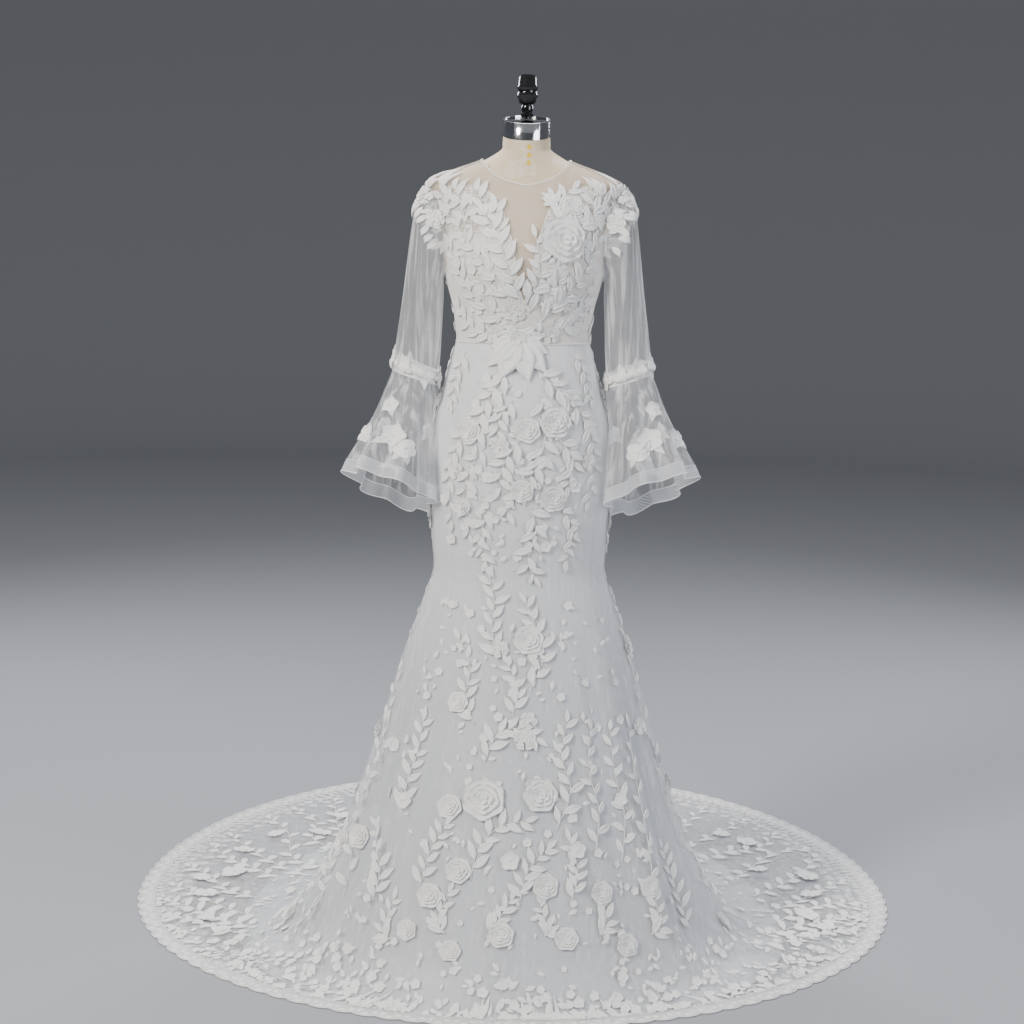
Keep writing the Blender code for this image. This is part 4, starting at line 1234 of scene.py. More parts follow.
def build_stage(settings):
    """Plain paper that curves up all round the gown, soft lights and the camera."""
    bend = np.linspace(0, math.pi / 2, 17)
    reach = PAPER_FLAT + PAPER_BEND * np.sin(bend)
    reach = np.concatenate([[PAPER_MIDDLE], reach, reach[-1:]])
    rise = np.concatenate([[0.0], PAPER_BEND * (1 - np.cos(bend)), [PAPER_TOP]])
    turns = np.linspace(0, 2 * math.pi, PAPER_SIDES + 1)[:-1, None]
    spots = np.stack([reach * np.cos(turns), reach * np.sin(turns), rise + 0 * turns], -1)
    mesh = bpy.data.meshes.new("Studio_paper")
    faces = grid_quads(PAPER_SIDES, len(reach), True).tolist()
    faces.append([k * len(reach) for k in reversed(range(PAPER_SIDES))])
    mesh.from_pydata(spots.reshape(-1, 3).tolist(), [], faces)
    mesh.shade_smooth()
    mesh.materials.append(finish(studio_paper))
    paper = bpy.data.objects.new("Studio_paper", mesh)
    bpy.context.scene.collection.objects.link(paper)
    world = bpy.data.worlds.new("Studio")
    world.use_nodes = True
    sky = world.node_tree.nodes["Background"]
    sky.inputs["Color"].default_value = linear("e8ebf0")
    sky.inputs["Strength"].default_value = settings.ambient
    bpy.context.scene.world = world
    middle = Vector((0.0, 0.1, 0.8))
    for lamp in LAMPS:
        light = bpy.data.lights.new(lamp.name, "AREA")
        light.shape = "DISK"
        light.size = lamp.size
        light.energy = lamp.power * settings.light
        light.color = linear(lamp.warmth)[:3]
        made = bpy.data.objects.new(lamp.name, light)
        made.location = (lamp.x, lamp.y, lamp.z)
        made.rotation_euler = (middle - made.location).to_track_quat("-Z", "Y").to_euler()
        bpy.context.scene.collection.objects.link(made)
    lens = bpy.data.cameras.new("Camera")
    lens.sensor_width = SENSOR_MM
    lens.lens = FOCAL_PIXELS / PICTURE * SENSOR_MM
    lens.clip_end = 50.0
    view = bpy.data.objects.new("Camera", lens)
    view.location = CAMERA
    view.rotation_euler = camera_turn().to_euler()
    bpy.context.scene.collection.objects.link(view)
    bpy.context.scene.camera = view


# Lace forms: flat motifs one unit long, growing along +Y, with heights as shares of that

RIM = (0.0, 0.070, 0.048, 0.002, 0.048, 0.070, 0.0)
RIM_ACROSS = (-1.0, -0.86, -0.46, 0.0, 0.46, 0.86, 1.0)


def leaf_form(width, bend, steps=8, skip=1):
    """A pointed leaf with a sunk vein, a corded rim and a sideways bend."""
    rim, across = np.array(RIM[::skip]), np.array(RIM_ACROSS[::skip])
    t = np.linspace(0.0, 1.0, steps)[:, None]
    half = width / 2 * np.sin(math.pi * t**0.85) ** 1.05
    x = half * across + bend * np.sin(math.pi / 2 * t) * t
    height = rim * np.minimum(half / width * 3, 1.0) + 0.02 * np.sin(math.pi * t)
    return np.stack([x, t + 0 * x, height], -1), grid_quads(steps, len(rim))[:, ::-1]


def petal_form(width, notch, lift, steps=6):
    """A round petal from its narrow foot to its corded, slightly lifted lip."""
    t = np.linspace(0.0, 1.0, steps)[:, None]
    across = np.array((-1.0, -0.6, 0.0, 0.6, 1.0))
    half = width / 2 * (0.18 + 0.82 * np.sin(math.pi / 2 * t**0.8)) * np.sqrt(1 - 0.75 * t**5)
    y = t * (1 - 0.22 * across**2 * t) - notch * (1 - np.abs(across)) * t**4
    lip = lift * t**2 + 0.05 * np.abs(across) ** 2 * t + 0.04 * (t > 0.9)
    return np.stack([half * across, y, lip], -1), grid_quads(steps, 5)[:, ::-1]


def dome_form(radius, height, steps=4, sides=8):
    """A small round knot."""
    rings = np.linspace(0.0, math.pi / 2, steps)
    turns = np.linspace(0, 2 * math.pi, sides + 1)
    reach = radius * np.cos(rings)
    x, y = np.cos(turns)[:, None] * reach, np.sin(turns)[:, None] * reach
    return np.stack([x, y, height * np.sin(rings) + 0 * x], -1), grid_quads(sides + 1, steps)


def set_round(form, count, start, distance, size, rise):
    """Copies of a form set in a ring, their feet at a distance from the centre."""
    spots, faces = form
    copies = []
    for k in range(count):
        turn = start + 2 * math.pi * k / count
        c, s = math.cos(turn), math.sin(turn)
        x, y, h = np.moveaxis(spots, -1, 0)
        y = y * size + distance
        x = x * size
        copies.append((np.stack([x * c - y * s, x * s + y * c, h * size + rise], -1), faces))
    return joined(copies)


def rose_form(petals):
    """A full rose: rings of lifted petals, each higher and closer than the last."""
    return joined(
        [
            set_round(petal_form(1.52, 0.05, 0.10), petals, 0.0, 0.36, 0.64, 0.00),
            set_round(petal_form(1.56, 0.05, 0.16), petals - 1, 0.5, 0.20, 0.52, 0.05),
            set_round(petal_form(1.50, 0.00, 0.26), petals - 2, 1.1, 0.08, 0.40, 0.10),
            set_round(petal_form(1.60, 0.00, 0.40), 3, 0.3, 0.02, 0.24, 0.15),
            dome_form(0.07, 0.26),
        ]
    )


def flower_form():
    """An open flower of five notched petals round a knot."""
    return joined(
        [
            set_round(petal_form(1.10, 0.10, 0.10, 5), 5, 0.0, 0.10, 0.90, 0.0),
            dome_form(0.15, 0.14),
        ]
    )


def floret_form():
    """A very small flower of five petals, plain enough to be set by the hundred."""
    petals = set_round(petal_form(1.15, 0.0, 0.12, 3), 5, 0.0, 0.10, 0.90, 0.0)
    return joined([petals, dome_form(0.17, 0.15, 2, 5)])


def tulip_form():
    """A bud seen from the side: two outer petals over a middle one."""
    copies = []
    for turn, size, rise in ((0.0, 1.0, 0.0), (0.42, 0.86, 0.03), (-0.42, 0.86, 0.03)):
        copies.append(set_round(leaf_form(0.46, 0.0), 1, turn, 0.0, size, rise))
    return joined(copies)


LEAVES = [leaf_form(0.42, 0.12), leaf_form(0.42, -0.12), leaf_form(0.38, 0.0)]
SMALL_LEAF = leaf_form(0.48, 0.04, 5, 2)
BROAD_LEAF = leaf_form(0.50, 0.06, 10)
FLORET = floret_form()
ROSE = rose_form(6)
SMALL_ROSE = rose_form(5)
FLOWER = flower_form()
TULIP = tulip_form()
FORMS = {"leaf": LEAVES, "small": [SMALL_LEAF], "rose": [ROSE], "bud": [SMALL_ROSE]}
FORMS.update({"flower": [FLOWER], "tulip": [TULIP], "broad": [BROAD_LEAF], "floret": [FLORET]})

Motif = namedtuple("Motif", "kind u v heading size rise")


def directions(surface, u, v):
    """Metres per unit of u and of v, and the unit directions along, across and out."""
    step = 1e-3
    along = (surface(u + step, v) - surface(u - step, v)) / (2 * step)
    up = (surface(u, v + step) - surface(u, v - step)) / (2 * step)
    first = along / np.linalg.norm(along, axis=-1, keepdims=True)
    away = np.cross(along, up)
    away /= np.linalg.norm(away, axis=-1, keepdims=True)
    return along, up, first, np.cross(away, first)


def laid_on(surface, form, motifs, lift):
    """Copies of a form laid on a surface and bent to it, one for each motif."""
    spots, faces = form
    flat = spots.reshape(-1, 3)
    u, v, heading, size, rise = (np.array([m[k] for m in motifs])[:, None] for k in range(1, 6))
    along, up, first, second = directions(surface, u, v)
    x = size * (flat[:, 0] * np.sin(heading) + flat[:, 1] * np.cos(heading))
    y = size * (flat[:, 1] * np.sin(heading) - flat[:, 0] * np.cos(heading))
    dv = y / np.sum(up * second, -1)
    du = (x - dv * np.sum(up * first, -1)) / np.linalg.norm(along, axis=-1)
    places = surface(u + du, v + dv)
    away = facing(surface, u + du, v + dv)
    height = lift + rise + size * flat[:, 2]
    count = len(flat) * np.arange(len(motifs))[:, None, None]
    return places + away * height[..., None], (faces + count).reshape(-1, 4)


def lace_shape(surface, motifs, stems, lift, rng):
    """All motifs and stems on one surface, as one shape."""
    parts = []
    for kind, forms in FORMS.items():
        chosen = [m for m in motifs if m.kind == kind]
        pick = rng.integers(0, len(forms), len(chosen))
        for k, form in enumerate(forms):
            some = [m for m, p in zip(chosen, pick) if p == k]
            if some:
                parts.append(laid_on(surface, form, some, lift))
    for path in stems:
        u, v = np.array(path).T
        spots = surface(u, v) + facing(surface, u, v) * (lift + 0.4 * MM)
        taper = np.linspace(1.1, 0.6, len(spots)) * MM
        parts.append(cord(spots, taper, 5))
    return joined(parts)


def vine(surface, path, leaf, pairs, rng, rise=0.0):
    """A stem through places (u, v) with leaves by turns, as its motifs and its fine path."""
    path = np.array(path, float)
    marks = np.linspace(0, len(path) - 1, 2 * pairs + 2)
    u, v = columns(path, marks)
    spots = surface(u, v)
    run = np.gradient(spots, axis=0)
    _, _, first, second = directions(surface, u, v)
    heading = np.arctan2(np.sum(run * second, -1), np.sum(run * first, -1))
    motifs = []
    for k in range(1, len(marks)):
        side = 1 if k % 2 else -1
        spread_out = 0.0 if k == len(marks) - 1 else side * rng.uniform(0.55, 0.95)
        size = leaf * rng.uniform(0.95, 1.25) * (1 - 0.30 * k / len(marks))
        place = (u[k], v[k], heading[k] + spread_out, size, rise + rng.uniform(0, 0.6) * MM)
        motifs.append(Motif("leaf", *place))
    fine = columns(path, np.linspace(0, len(path) - 1, 6 * pairs + 6)).T
    return motifs, [fine]


# Where the lace shows in the picture, in its pixels

Spot = namedtuple("Spot", "px py")
Spray = namedtuple("Spray", "leaf pairs path")
Bloom = namedtuple("Bloom", "kind px py size turn")


def seen_at(spots):
    """Where points show in the picture, in pixels."""
    turn = np.array(camera_turn())
    local = (spots - np.array(CAMERA)) @ turn
    depth = -local[..., 2]
    px = PICTURE / 2 + FOCAL_PIXELS * local[..., 0] / depth
    py = PICTURE / 2 - FOCAL_PIXELS * local[..., 1] / depth
    return px, py


def front_finder(surface, us, vs):
    """A function that gives the place (u, v) of a surface that shows nearest a pixel."""
    u, v = np.meshgrid(us, vs, indexing="ij")
    px, py = seen_at(surface(u, v))

    def find(spot):
        nearest = np.argmin((px - spot[0]) ** 2 + (py - spot[1]) ** 2)
        return u.flat[nearest], v.flat[nearest]

    return find


LEAF_SCALE = 1.2


def from_picture(surface, find, sprays, blooms, rng):
    """The motifs and stems of the sprays and blooms that are placed by pixels."""
    motifs, stems = [], []
    for spray in sprays:
        path = [find(spot) for spot in spray.path]
        leaves, stem = vine(surface, path, spray.leaf * LEAF_SCALE, spray.pairs, rng)
        motifs += leaves
        stems += stem
    for bloom in blooms:
        place = find((bloom.px, bloom.py))
        turn = math.radians(bloom.turn)
        motifs.append(Motif(bloom.kind, *place, turn, bloom.size, rng.uniform(0.8, 1.6) * MM))
    return motifs, stems


BODICE_SPRAYS = [
    Spray(0.034, 9, [Spot(521, 302), Spot(509, 270), Spot(496, 234), Spot(470, 204), Spot(428, 188)]),
    Spray(0.030, 6, [Spot(512, 300), Spot(488, 268), Spot(466, 238), Spot(446, 210)]),
    Spray(0.028, 6, [Spot(504, 322), Spot(478, 300), Spot(462, 276), Spot(450, 246)]),
    Spray(0.028, 4, [Spot(494, 336), Spot(472, 326), Spot(458, 306)]),
    Spray(0.030, 4, [Spot(526, 304), Spot(536, 284), Spot(540, 262), Spot(536, 238)]),
    Spray(0.030, 5, [Spot(572, 236), Spot(590, 218), Spot(606, 204), Spot(622, 192)]),
    Spray(0.028, 4, [Spot(566, 224), Spot(560, 208), Spot(552, 200)]),
    Spray(0.030, 7, [Spot(540, 322), Spot(562, 300), Spot(582, 276), Spot(596, 246), Spot(604, 220)]),
    Spray(0.026, 4, [Spot(556, 330), Spot(574, 322), Spot(584, 304)]),
    Spray(0.026, 3, [Spot(528, 312), Spot(548, 296), Spot(560, 280)]),
    Spray(0.030, 2, [Spot(450, 222), Spot(444, 202), Spot(440, 184)]),
    Spray(0.030, 2, [Spot(466, 224), Spot(462, 206), Spot(456, 190)]),
    Spray(0.032, 2, [Spot(486, 232), Spot(484, 212), Spot(478, 192)]),
    Spray(0.028, 2, [Spot(502, 246), Spot(500, 226), Spot(496, 206)]),
    Spray(0.028, 2, [Spot(436, 214), Spot(430, 196), Spot(428, 184)]),
    Spray(0.030, 2, [Spot(592, 232), Spot(594, 210), Spot(592, 190)]),
    Spray(0.028, 2, [Spot(606, 226), Spot(612, 204), Spot(616, 186)]),
    Spray(0.026, 2, [Spot(556, 216), Spot(562, 200), Spot(572, 190)]),
]
BODICE_BLOOMS = [
    Bloom("rose", 563, 240, 0.045, 20),
    Bloom("rose", 573, 208, 0.024, 60),
    Bloom("tulip", 600, 196, 0.034, 84),
    Bloom("bud", 571, 312, 0.020, 10),
    Bloom("bud", 516, 312, 0.018, 40),
    Bloom("bud", 497, 334, 0.021, 70),
    Bloom("flower", 458, 262, 0.014, 15),
    Bloom("flower", 480, 288, 0.013, 50),
    Bloom("flower", 592, 264, 0.014, 0),
    Bloom("bud", 550, 334, 0.018, 30),
    Bloom("flower", 436, 204, 0.013, 30),
    Bloom("rose", 612, 214, 0.022, 30),
    Bloom("tulip", 486, 216, 0.030, 118),
]
HIP_SPRAYS = [
    Spray(0.032, 5, [Spot(508, 372), Spot(492, 392), Spot(482, 416), Spot(476, 444)]),
    Spray(0.032, 5, [Spot(538, 372), Spot(556, 388), Spot(572, 404), Spot(588, 424)]),
    Spray(0.028, 6, [Spot(468, 424), Spot(456, 448), Spot(450, 478), Spot(452, 520)]),
    Spray(0.026, 5, [Spot(484, 446), Spot(470, 470), Spot(464, 500), Spot(470, 534)]),
    Spray(0.030, 5, [Spot(545, 436), Spot(540, 460), Spot(530, 478), Spot(514, 500)]),
    Spray(0.030, 5, [Spot(520, 440), Spot(506, 460), Spot(500, 482), Spot(508, 512)]),
    Spray(0.026, 5, [Spot(582, 418), Spot(592, 440), Spot(594, 468), Spot(588, 500)]),
    Spray(0.028, 4, [Spot(560, 440), Spot(572, 460), Spot(568, 486)]),
    Spray(0.028, 4, [Spot(512, 400), Spot(500, 418), Spot(498, 440)]),
    Spray(0.028, 4, [Spot(540, 396), Spot(546, 412), Spot(560, 420)]),
    Spray(0.024, 4, [Spot(466, 352), Spot(456, 378), Spot(452, 404)]),
    Spray(0.024, 4, [Spot(572, 350), Spot(584, 374), Spot(590, 398)]),
    Spray(0.028, 5, [Spot(530, 506), Spot(536, 530), Spot(528, 560), Spot(534, 586)]),
    Spray(0.024, 4, [Spot(560, 506), Spot(572, 530), Spot(566, 560)]),
    Spray(0.024, 4, [Spot(490, 510), Spot(480, 538), Spot(488, 566)]),
]
HIP_BLOOMS = [
    Bloom("rose", 555, 422, 0.032, 0),
    Bloom("rose", 527, 430, 0.026, 40),
    Bloom("rose", 521, 490, 0.024, 20),
    Bloom("rose", 553, 498, 0.028, 70),
    Bloom("rose", 470, 430, 0.023, 10),
    Bloom("bud", 456, 470, 0.018, 30),
    Bloom("bud", 462, 506, 0.019, 60),
    Bloom("bud", 588, 462, 0.017, 60),
    Bloom("bud", 500, 446, 0.018, 20),
    Bloom("bud", 572, 398, 0.018, 50),
    Bloom("flower", 488, 476, 0.014, 10),
    Bloom("flower", 540, 462, 0.014, 50),
    Bloom("flower", 574, 486, 0.014, 20),
    Bloom("flower", 446, 498, 0.013, 0),
    Bloom("flower", 452, 538, 0.013, 33),
    Bloom("flower", 545, 546, 0.013, 10),
]
MEDALLION = Spot(519, 338)
SKIRT_SPRAYS = [
    Spray(0.030, 6, [Spot(498, 660), Spot(492, 630), Spot(494, 600), Spot(488, 574)]),
    Spray(0.030, 6, [Spot(530, 690), Spot(542, 660), Spot(536, 630), Spot(526, 604)]),
    Spray(0.028, 6, [Spot(474, 724), Spot(466, 696), Spot(470, 668), Spot(460, 640)]),
    Spray(0.026, 5, [Spot(512, 716), Spot(518, 690), Spot(508, 664)]),
    Spray(0.030, 6, [Spot(486, 760), Spot(496, 736), Spot(516, 728), Spot(536, 738)]),
    Spray(0.030, 6, [Spot(344, 896), Spot(352, 850), Spot(366, 800), Spot(384, 752), Spot(388, 716)]),
    Spray(0.028, 6, [Spot(402, 812), Spot(408, 780), Spot(418, 752), Spot(424, 722)]),
    Spray(0.028, 6, [Spot(372, 900), Spot(380, 862), Spot(376, 826)]),
    Spray(0.028, 5, [Spot(420, 886), Spot(430, 852), Spot(446, 826)]),
    Spray(0.030, 6, [Spot(470, 880), Spot(478, 850), Spot(498, 828), Spot(524, 822)]),
    Spray(0.030, 6, [Spot(556, 830), Spot(570, 790), Spot(562, 756), Spot(566, 722)]),
    Spray(0.026, 6, [Spot(596, 850), Spot(598, 810), Spot(588, 770), Spot(590, 730)]),
    Spray(0.026, 6, [Spot(622, 860), Spot(624, 816), Spot(614, 770), Spot(610, 730)]),
    Spray(0.028, 6, [Spot(650, 900), Spot(650, 860), Spot(642, 812), Spot(634, 770), Spot(628, 728)]),
    Spray(0.026, 5, [Spot(572, 900), Spot(578, 872), Spot(570, 842)]),
    Spray(0.028, 5, [Spot(520, 900), Spot(528, 872), Spot(546, 850)]),
    Spray(0.026, 5, [Spot(444, 934), Spot(438, 920), Spot(448, 892)]),
    Spray(0.026, 5, [Spot(490, 932), Spot(496, 924), Spot(510, 900)]),
    Spray(0.026, 5, [Spot(600, 934), Spot(606, 920), Spot(600, 890)]),
    Spray(0.026, 5, [Spot(390, 940), Spot(384, 930), Spot(394, 900)]),
    Spray(0.026, 5, [Spot(650, 934), Spot(660, 926), Spot(654, 896)]),
    Spray(0.024, 5, [Spot(544, 936), Spot(548, 930), Spot(540, 904)]),
    Spray(0.028, 6, [Spot(310, 920), Spot(326, 880), Spot(340, 840)]),
    Spray(0.028, 6, [Spot(690, 930), Spot(676, 890), Spot(662, 850)]),
]
SKIRT_BLOOMS = [
    Bloom("rose", 528, 640, 0.030, 10),
    Bloom("bud", 500, 648, 0.018, 40),
    Bloom("rose", 458, 702, 0.022, 0),
    Bloom("bud", 528, 720, 0.018, 60),
    Bloom("rose", 484, 798, 0.042, 30),
    Bloom("rose", 540, 794, 0.034, 0),
    Bloom("rose", 450, 806, 0.026, 50),
    Bloom("bud", 524, 740, 0.022, 20),
    Bloom("rose", 360, 836, 0.026, 10),
    Bloom("bud", 640, 726, 0.018, 30),
    Bloom("rose", 458, 870, 0.026, 45),
    Bloom("rose", 430, 896, 0.026, 0),
    Bloom("rose", 545, 886, 0.026, 20),
    Bloom("rose", 600, 892, 0.024, 70),
    Bloom("rose", 650, 886, 0.022, 30),
    Bloom("flower", 404, 800, 0.018, 0),
    Bloom("flower", 396, 744, 0.016, 30),
    Bloom("flower", 576, 850, 0.018, 10),
    Bloom("flower", 620, 800, 0.015, 40),
    Bloom("flower", 510, 860, 0.020, 20),
    Bloom("rose", 500, 934, 0.026, 15),
    Bloom("rose", 566, 938, 0.024, 55),
    Bloom("rose", 408, 930, 0.022, 35),
    Bloom("rose", 626, 946, 0.024, 5),
    Bloom("rose", 450, 950, 0.022, 65),
]


def mended(surface, low, high):
    """The surface, with places beyond its ends brought back inside."""
    return lambda u, v: surface(u, np.clip(v, low, high))


skirt_face = mended(skirt_point, 0.02, SKIRT_TOP - 0.02)


# The plunge in the picture, which the small lace stays clear of
PLUNGE_MIDDLE = 525.0
PLUNGE_FOOT = 302.0
PLUNGE_DEEP = 97.0
BODICE_GROUND = 230


def bodice_ground(find, rng):
    """Small leaves and flowers over the bodice, clear of the plunge."""
    motifs = []
    for k in range(BODICE_GROUND):
        px, py = rng.uniform(446, 604), rng.uniform(212, 340)
        high = max(0.0, PLUNGE_FOOT - py) / PLUNGE_DEEP
        if abs(px - PLUNGE_MIDDLE) < 9 + 29 * high:
            continue
        place = (*find((px, py)), rng.uniform(0, 2 * math.pi))
        if k % 4:
            motifs.append(Motif("small", *place, rng.uniform(0.015, 0.025), 0.0))
        else:
            motifs.append(Motif("flower", *place, rng.uniform(0.008, 0.012), 0.3 * MM))
    return motifs


def build_bodice_lace(settings):
    """Leafy sprays up the plunge and over the shoulders, roses, and the waist's medallion."""
    rng = np.random.default_rng(settings.seed)
    find = front_finder(body_point, np.linspace(-math.pi, 0, 361), np.linspace(1.15, 1.53, 300))
    motifs, stems = from_picture(body_point, find, BODICE_SPRAYS, BODICE_BLOOMS, rng)
    motifs += bodice_ground(find, rng)
    add_lace("Lace_bodice", body_point, motifs, stems, settings, rng, BODICE_STANDS_FOR)
    motifs = medallion()
    find = front_finder(body_point, np.linspace(-math.pi, 0, 361), np.linspace(0.77, 1.21, 400))
    more, stems = from_picture(body_point, find, HIP_SPRAYS, HIP_BLOOMS, rng)
    ground = scattered(rng, 130, (-2.25, -0.89), (0.80, 1.15), 0.012, 0.020, 1.0)
    motifs += more + ground
    add_lace("Lace_hip", body_point, motifs, stems, settings, rng, HIP_STANDS_FOR)


# Leaves of the waist's medallion: heading in degrees from level, length and rise
MedallionLeaf = namedtuple("MedallionLeaf", "heading length rise")
MEDALLION_LEAVES = [
    MedallionLeaf(-158, 0.060, 0.6),
    MedallionLeaf(-24, 0.062, 0.6),
    MedallionLeaf(-132, 0.078, 1.0),
    MedallionLeaf(-50, 0.080, 1.0),
    MedallionLeaf(-108, 0.084, 1.5),
    MedallionLeaf(-74, 0.082, 1.9),
    MedallionLeaf(172, 0.046, 1.4),
    MedallionLeaf(10, 0.048, 1.4),
    MedallionLeaf(140, 0.036, 2.2),
    MedallionLeaf(42, 0.036, 2.2),
]


def medallion():
    """Broad leaves that fan down from the waist seam, under a rose and its buds."""
    find = front_finder(body_point, np.linspace(-2.2, -1, 121), np.linspace(1.1, 1.3, 200))
    u, v = find(MEDALLION)
    motifs = []
    for leaf in MEDALLION_LEAVES:
        place = (u, v, math.radians(leaf.heading), leaf.length)
        motifs.append(Motif("broad", *place, leaf.rise * MM))
    motifs.append(Motif("rose", u, v, 0.4, 0.023, 3.0 * MM))
    return motifs


BODICE_STANDS_FOR = [f"{n}_{s}" for n in ("spray_neck", "rose_bust") for s in ("left", "right")]
BODICE_STANDS_FOR.append("rose_waist_left")
HIP_STANDS_FOR = [f"rose_skirt_{n}" for n in range(1, 5)]
HIP_STANDS_FOR += [f"branch_skirt_{n}" for n in range(1, 3)]
SKIRT_STANDS_FOR = [f"rose_skirt_{n}" for n in range(5, 8)]
SKIRT_STANDS_FOR += [f"branch_skirt_{n}" for n in range(3, 7)]


def add_lace(name, surface, motifs, stems, settings, rng, stands_for=()):
    """One joined piece of lace motifs on a surface."""
    shape = lace_shape(surface, motifs, stems, settings.lace_lift, rng)
    lace = finish(corded_lace)
    return add_piece(name, shape, lace, "corded_lace", stands_for)


def build_skirt_lace(settings):
    """Sprays and roses down the front of the skirt, and close small flowers over its foot."""
    rng = np.random.default_rng(settings.seed + 1)
    angles = np.linspace(-math.pi, 0, 361)
    find = front_finder(skirt_face, angles, np.linspace(0.05, 14, 500))
    motifs, stems = from_picture(skirt_face, find, SKIRT_SPRAYS, SKIRT_BLOOMS, rng)
    motifs += scattered(rng, 260, (-2.55, -0.59), (3.6, 11.0), 0.011, 0.020, 1.2)
    add_lace("Lace_skirt", skirt_face, motifs, stems, settings, rng, SKIRT_STANDS_FOR)
    motifs = scattered(rng, 760, (-math.pi * 0.97, -math.pi * 0.03), (0.1, 3.8), 0.013, 0.024)
    add_lace("Lace_foot", skirt_face, motifs, [], settings, rng)


def scattered(rng, count, angles, levels, small, large, closer=1.6):
    """Small flowers and leaves strewn over a stretch of cloth, closer near its first level."""
    u = rng.uniform(*angles, count)
    v = levels[0] + (levels[1] - levels[0]) * rng.random(count) ** closer
    motifs = []
    for k in range(count):
        flower = k % 3 == 0
        size = rng.uniform(small, large) * (0.55 if flower else 1.0)
        kind = "flower" if flower else "small"
        heading = rng.uniform(0, 2 * math.pi)
        motifs.append(Motif(kind, u[k], v[k], heading, size, rng.uniform(0.0, 0.8) * MM))
    return motifs


def build_back_lace(settings):
    """Vines up the sides and back of the skirt and hip, and lace over the back bodice."""
    rng = np.random.default_rng(settings.seed + 2)
    motifs, stems = [], []
    for k in range(11):
        angle = math.radians(-4 + 18.8 * k)
        high = rng.uniform(7.5, 11.5)
        levels = np.linspace(3.4 if k % 2 else 2.8, high, 5)
        sway = np.radians(rng.uniform(-5, 5, 5))
        path = np.stack([angle + sway, levels], -1)
        leaves, stem = vine(skirt_face, path, 0.034, 11, rng)
        motifs += leaves
        stems += stem
        for share in (0.12, 0.45, 0.8):
            level = levels[0] + (high - levels[0]) * share
            turn = rng.uniform(0, 6)
            spot = (angle + math.radians(rng.uniform(-6, 6)), level, turn)
            kind = "rose" if share < 0.5 else "bud"
            motifs.append(Motif(kind, *spot, rng.uniform(0.020, 0.032), 1.2 * MM))
    motifs += scattered(rng, 420, (0.03, math.pi - 0.03), (2.4, 8.0), 0.014, 0.026)
    add_lace("Lace_skirt_back", skirt_face, motifs, stems, settings, rng)
    motifs, stems = [], []
    for k in range(8):
        angle = math.radians(4 + 24.5 * k)
        path = np.stack([angle + np.radians([-4, 4, -3, 5]), np.linspace(0.80, 1.17, 4)], -1)
        leaves, stem = vine(body_point, path, 0.030, 7, rng)
        motifs += leaves
        stems += stem
        for z in (0.86, 0.99, 1.11):
            spot = (angle + math.radians(rng.uniform(-8, 8)), z + rng.uniform(-0.02, 0.02))
            motifs.append(Motif("bud", *spot, rng.uniform(0, 6), rng.uniform(0.018, 0.026), MM))
    for sign in (1, -1):
        for start, end in ((1.22, 1.44), (1.24, 1.40)):
            reach = 62 if end > 1.42 else 36
            turn = np.radians(90 + sign * np.linspace(14, reach, 4))
            path = np.stack([turn, np.linspace(start, end, 4)], -1)
            leaves, stem = vine(body_point, path, 0.030, 7, rng)
            motifs += leaves
            stems += stem
        for degrees, z, size in ((24, 1.30, 0.026), (46, 1.37, 0.030), (58, 1.25, 0.022)):
            spot = (math.radians(90 + sign * degrees), z, rng.uniform(0, 6))
            motifs.append(Motif("rose", *spot, size, MM))
    add_lace("Lace_back", body_point, motifs, stems, settings, rng)


def build_train_lace(settings):
    """Vines that run out over the train, and the close border inside its edging."""
    rng = np.random.default_rng(settings.seed + 3)
    motifs, stems = [], []
    for k in range(26):
        angle = math.radians(-18 + 216 * k / 25)
        levels = np.linspace(2.6 + rng.uniform(-0.3, 0.3), 0.55, 4)
        path = np.stack([angle + np.radians(rng.uniform(-3, 3, 4)), levels], -1)
        leaves, stem = vine(skirt_face, path, 0.040, 6, rng)
        motifs += leaves
        stems += stem
        spot = (angle + math.radians(rng.uniform(-3, 3)), rng.uniform(0.8, 2.0))
        motifs.append(Motif("flower", *spot, rng.uniform(0, 6), rng.uniform(0.022, 0.034), MM))
    add_lace("Lace_train", skirt_face, motifs, stems, settings, rng)
    border = border_motifs(rng)
    add_lace("Lace_border", edge_face, border, [], settings, rng)


EDGE_LIFT = 0.8 * MM


def edge_face(along, across):
    """The floor by the train's edge: metres along it, and out from it or in on the tulle."""
    along, across = np.broadcast_arrays(along, across)
    spot = edge_point(along, across)
    spot[..., 2] = HEM_Z + EDGE_LIFT + np.clip(-across, 0.0, 0.1) * 0.045
    return spot


def border_motifs(rng):
    """Flowers and leaves close together along the inside of the train's edge."""
    total = TRAIN_LENGTHS[-1]
    motifs = []
    for row, (across, pitch, size) in enumerate(
        ((-0.010, 0.022, 0.009), (-0.034, 0.030, 0.011), (-0.062, 0.046, 0.013))
    ):
        count = round(total / pitch)
        for k in range(count):
            along = total * (k + 0.5 * (row % 2)) / count + rng.uniform(-3, 3) * MM
            place = (along, across + rng.uniform(-5, 5) * MM, rng.uniform(0, 6))
            motifs.append(Motif("floret", *place, size * rng.uniform(0.8, 1.2), 0.4 * MM))
            for turn in rng.uniform(0, 2 * math.pi, 2):
                place = (along + 6 * MM, across + rng.uniform(-6, 6) * MM, turn)
                motifs.append(Motif("small", *place, rng.uniform(12, 18) * MM, 0.0))
    return motifs


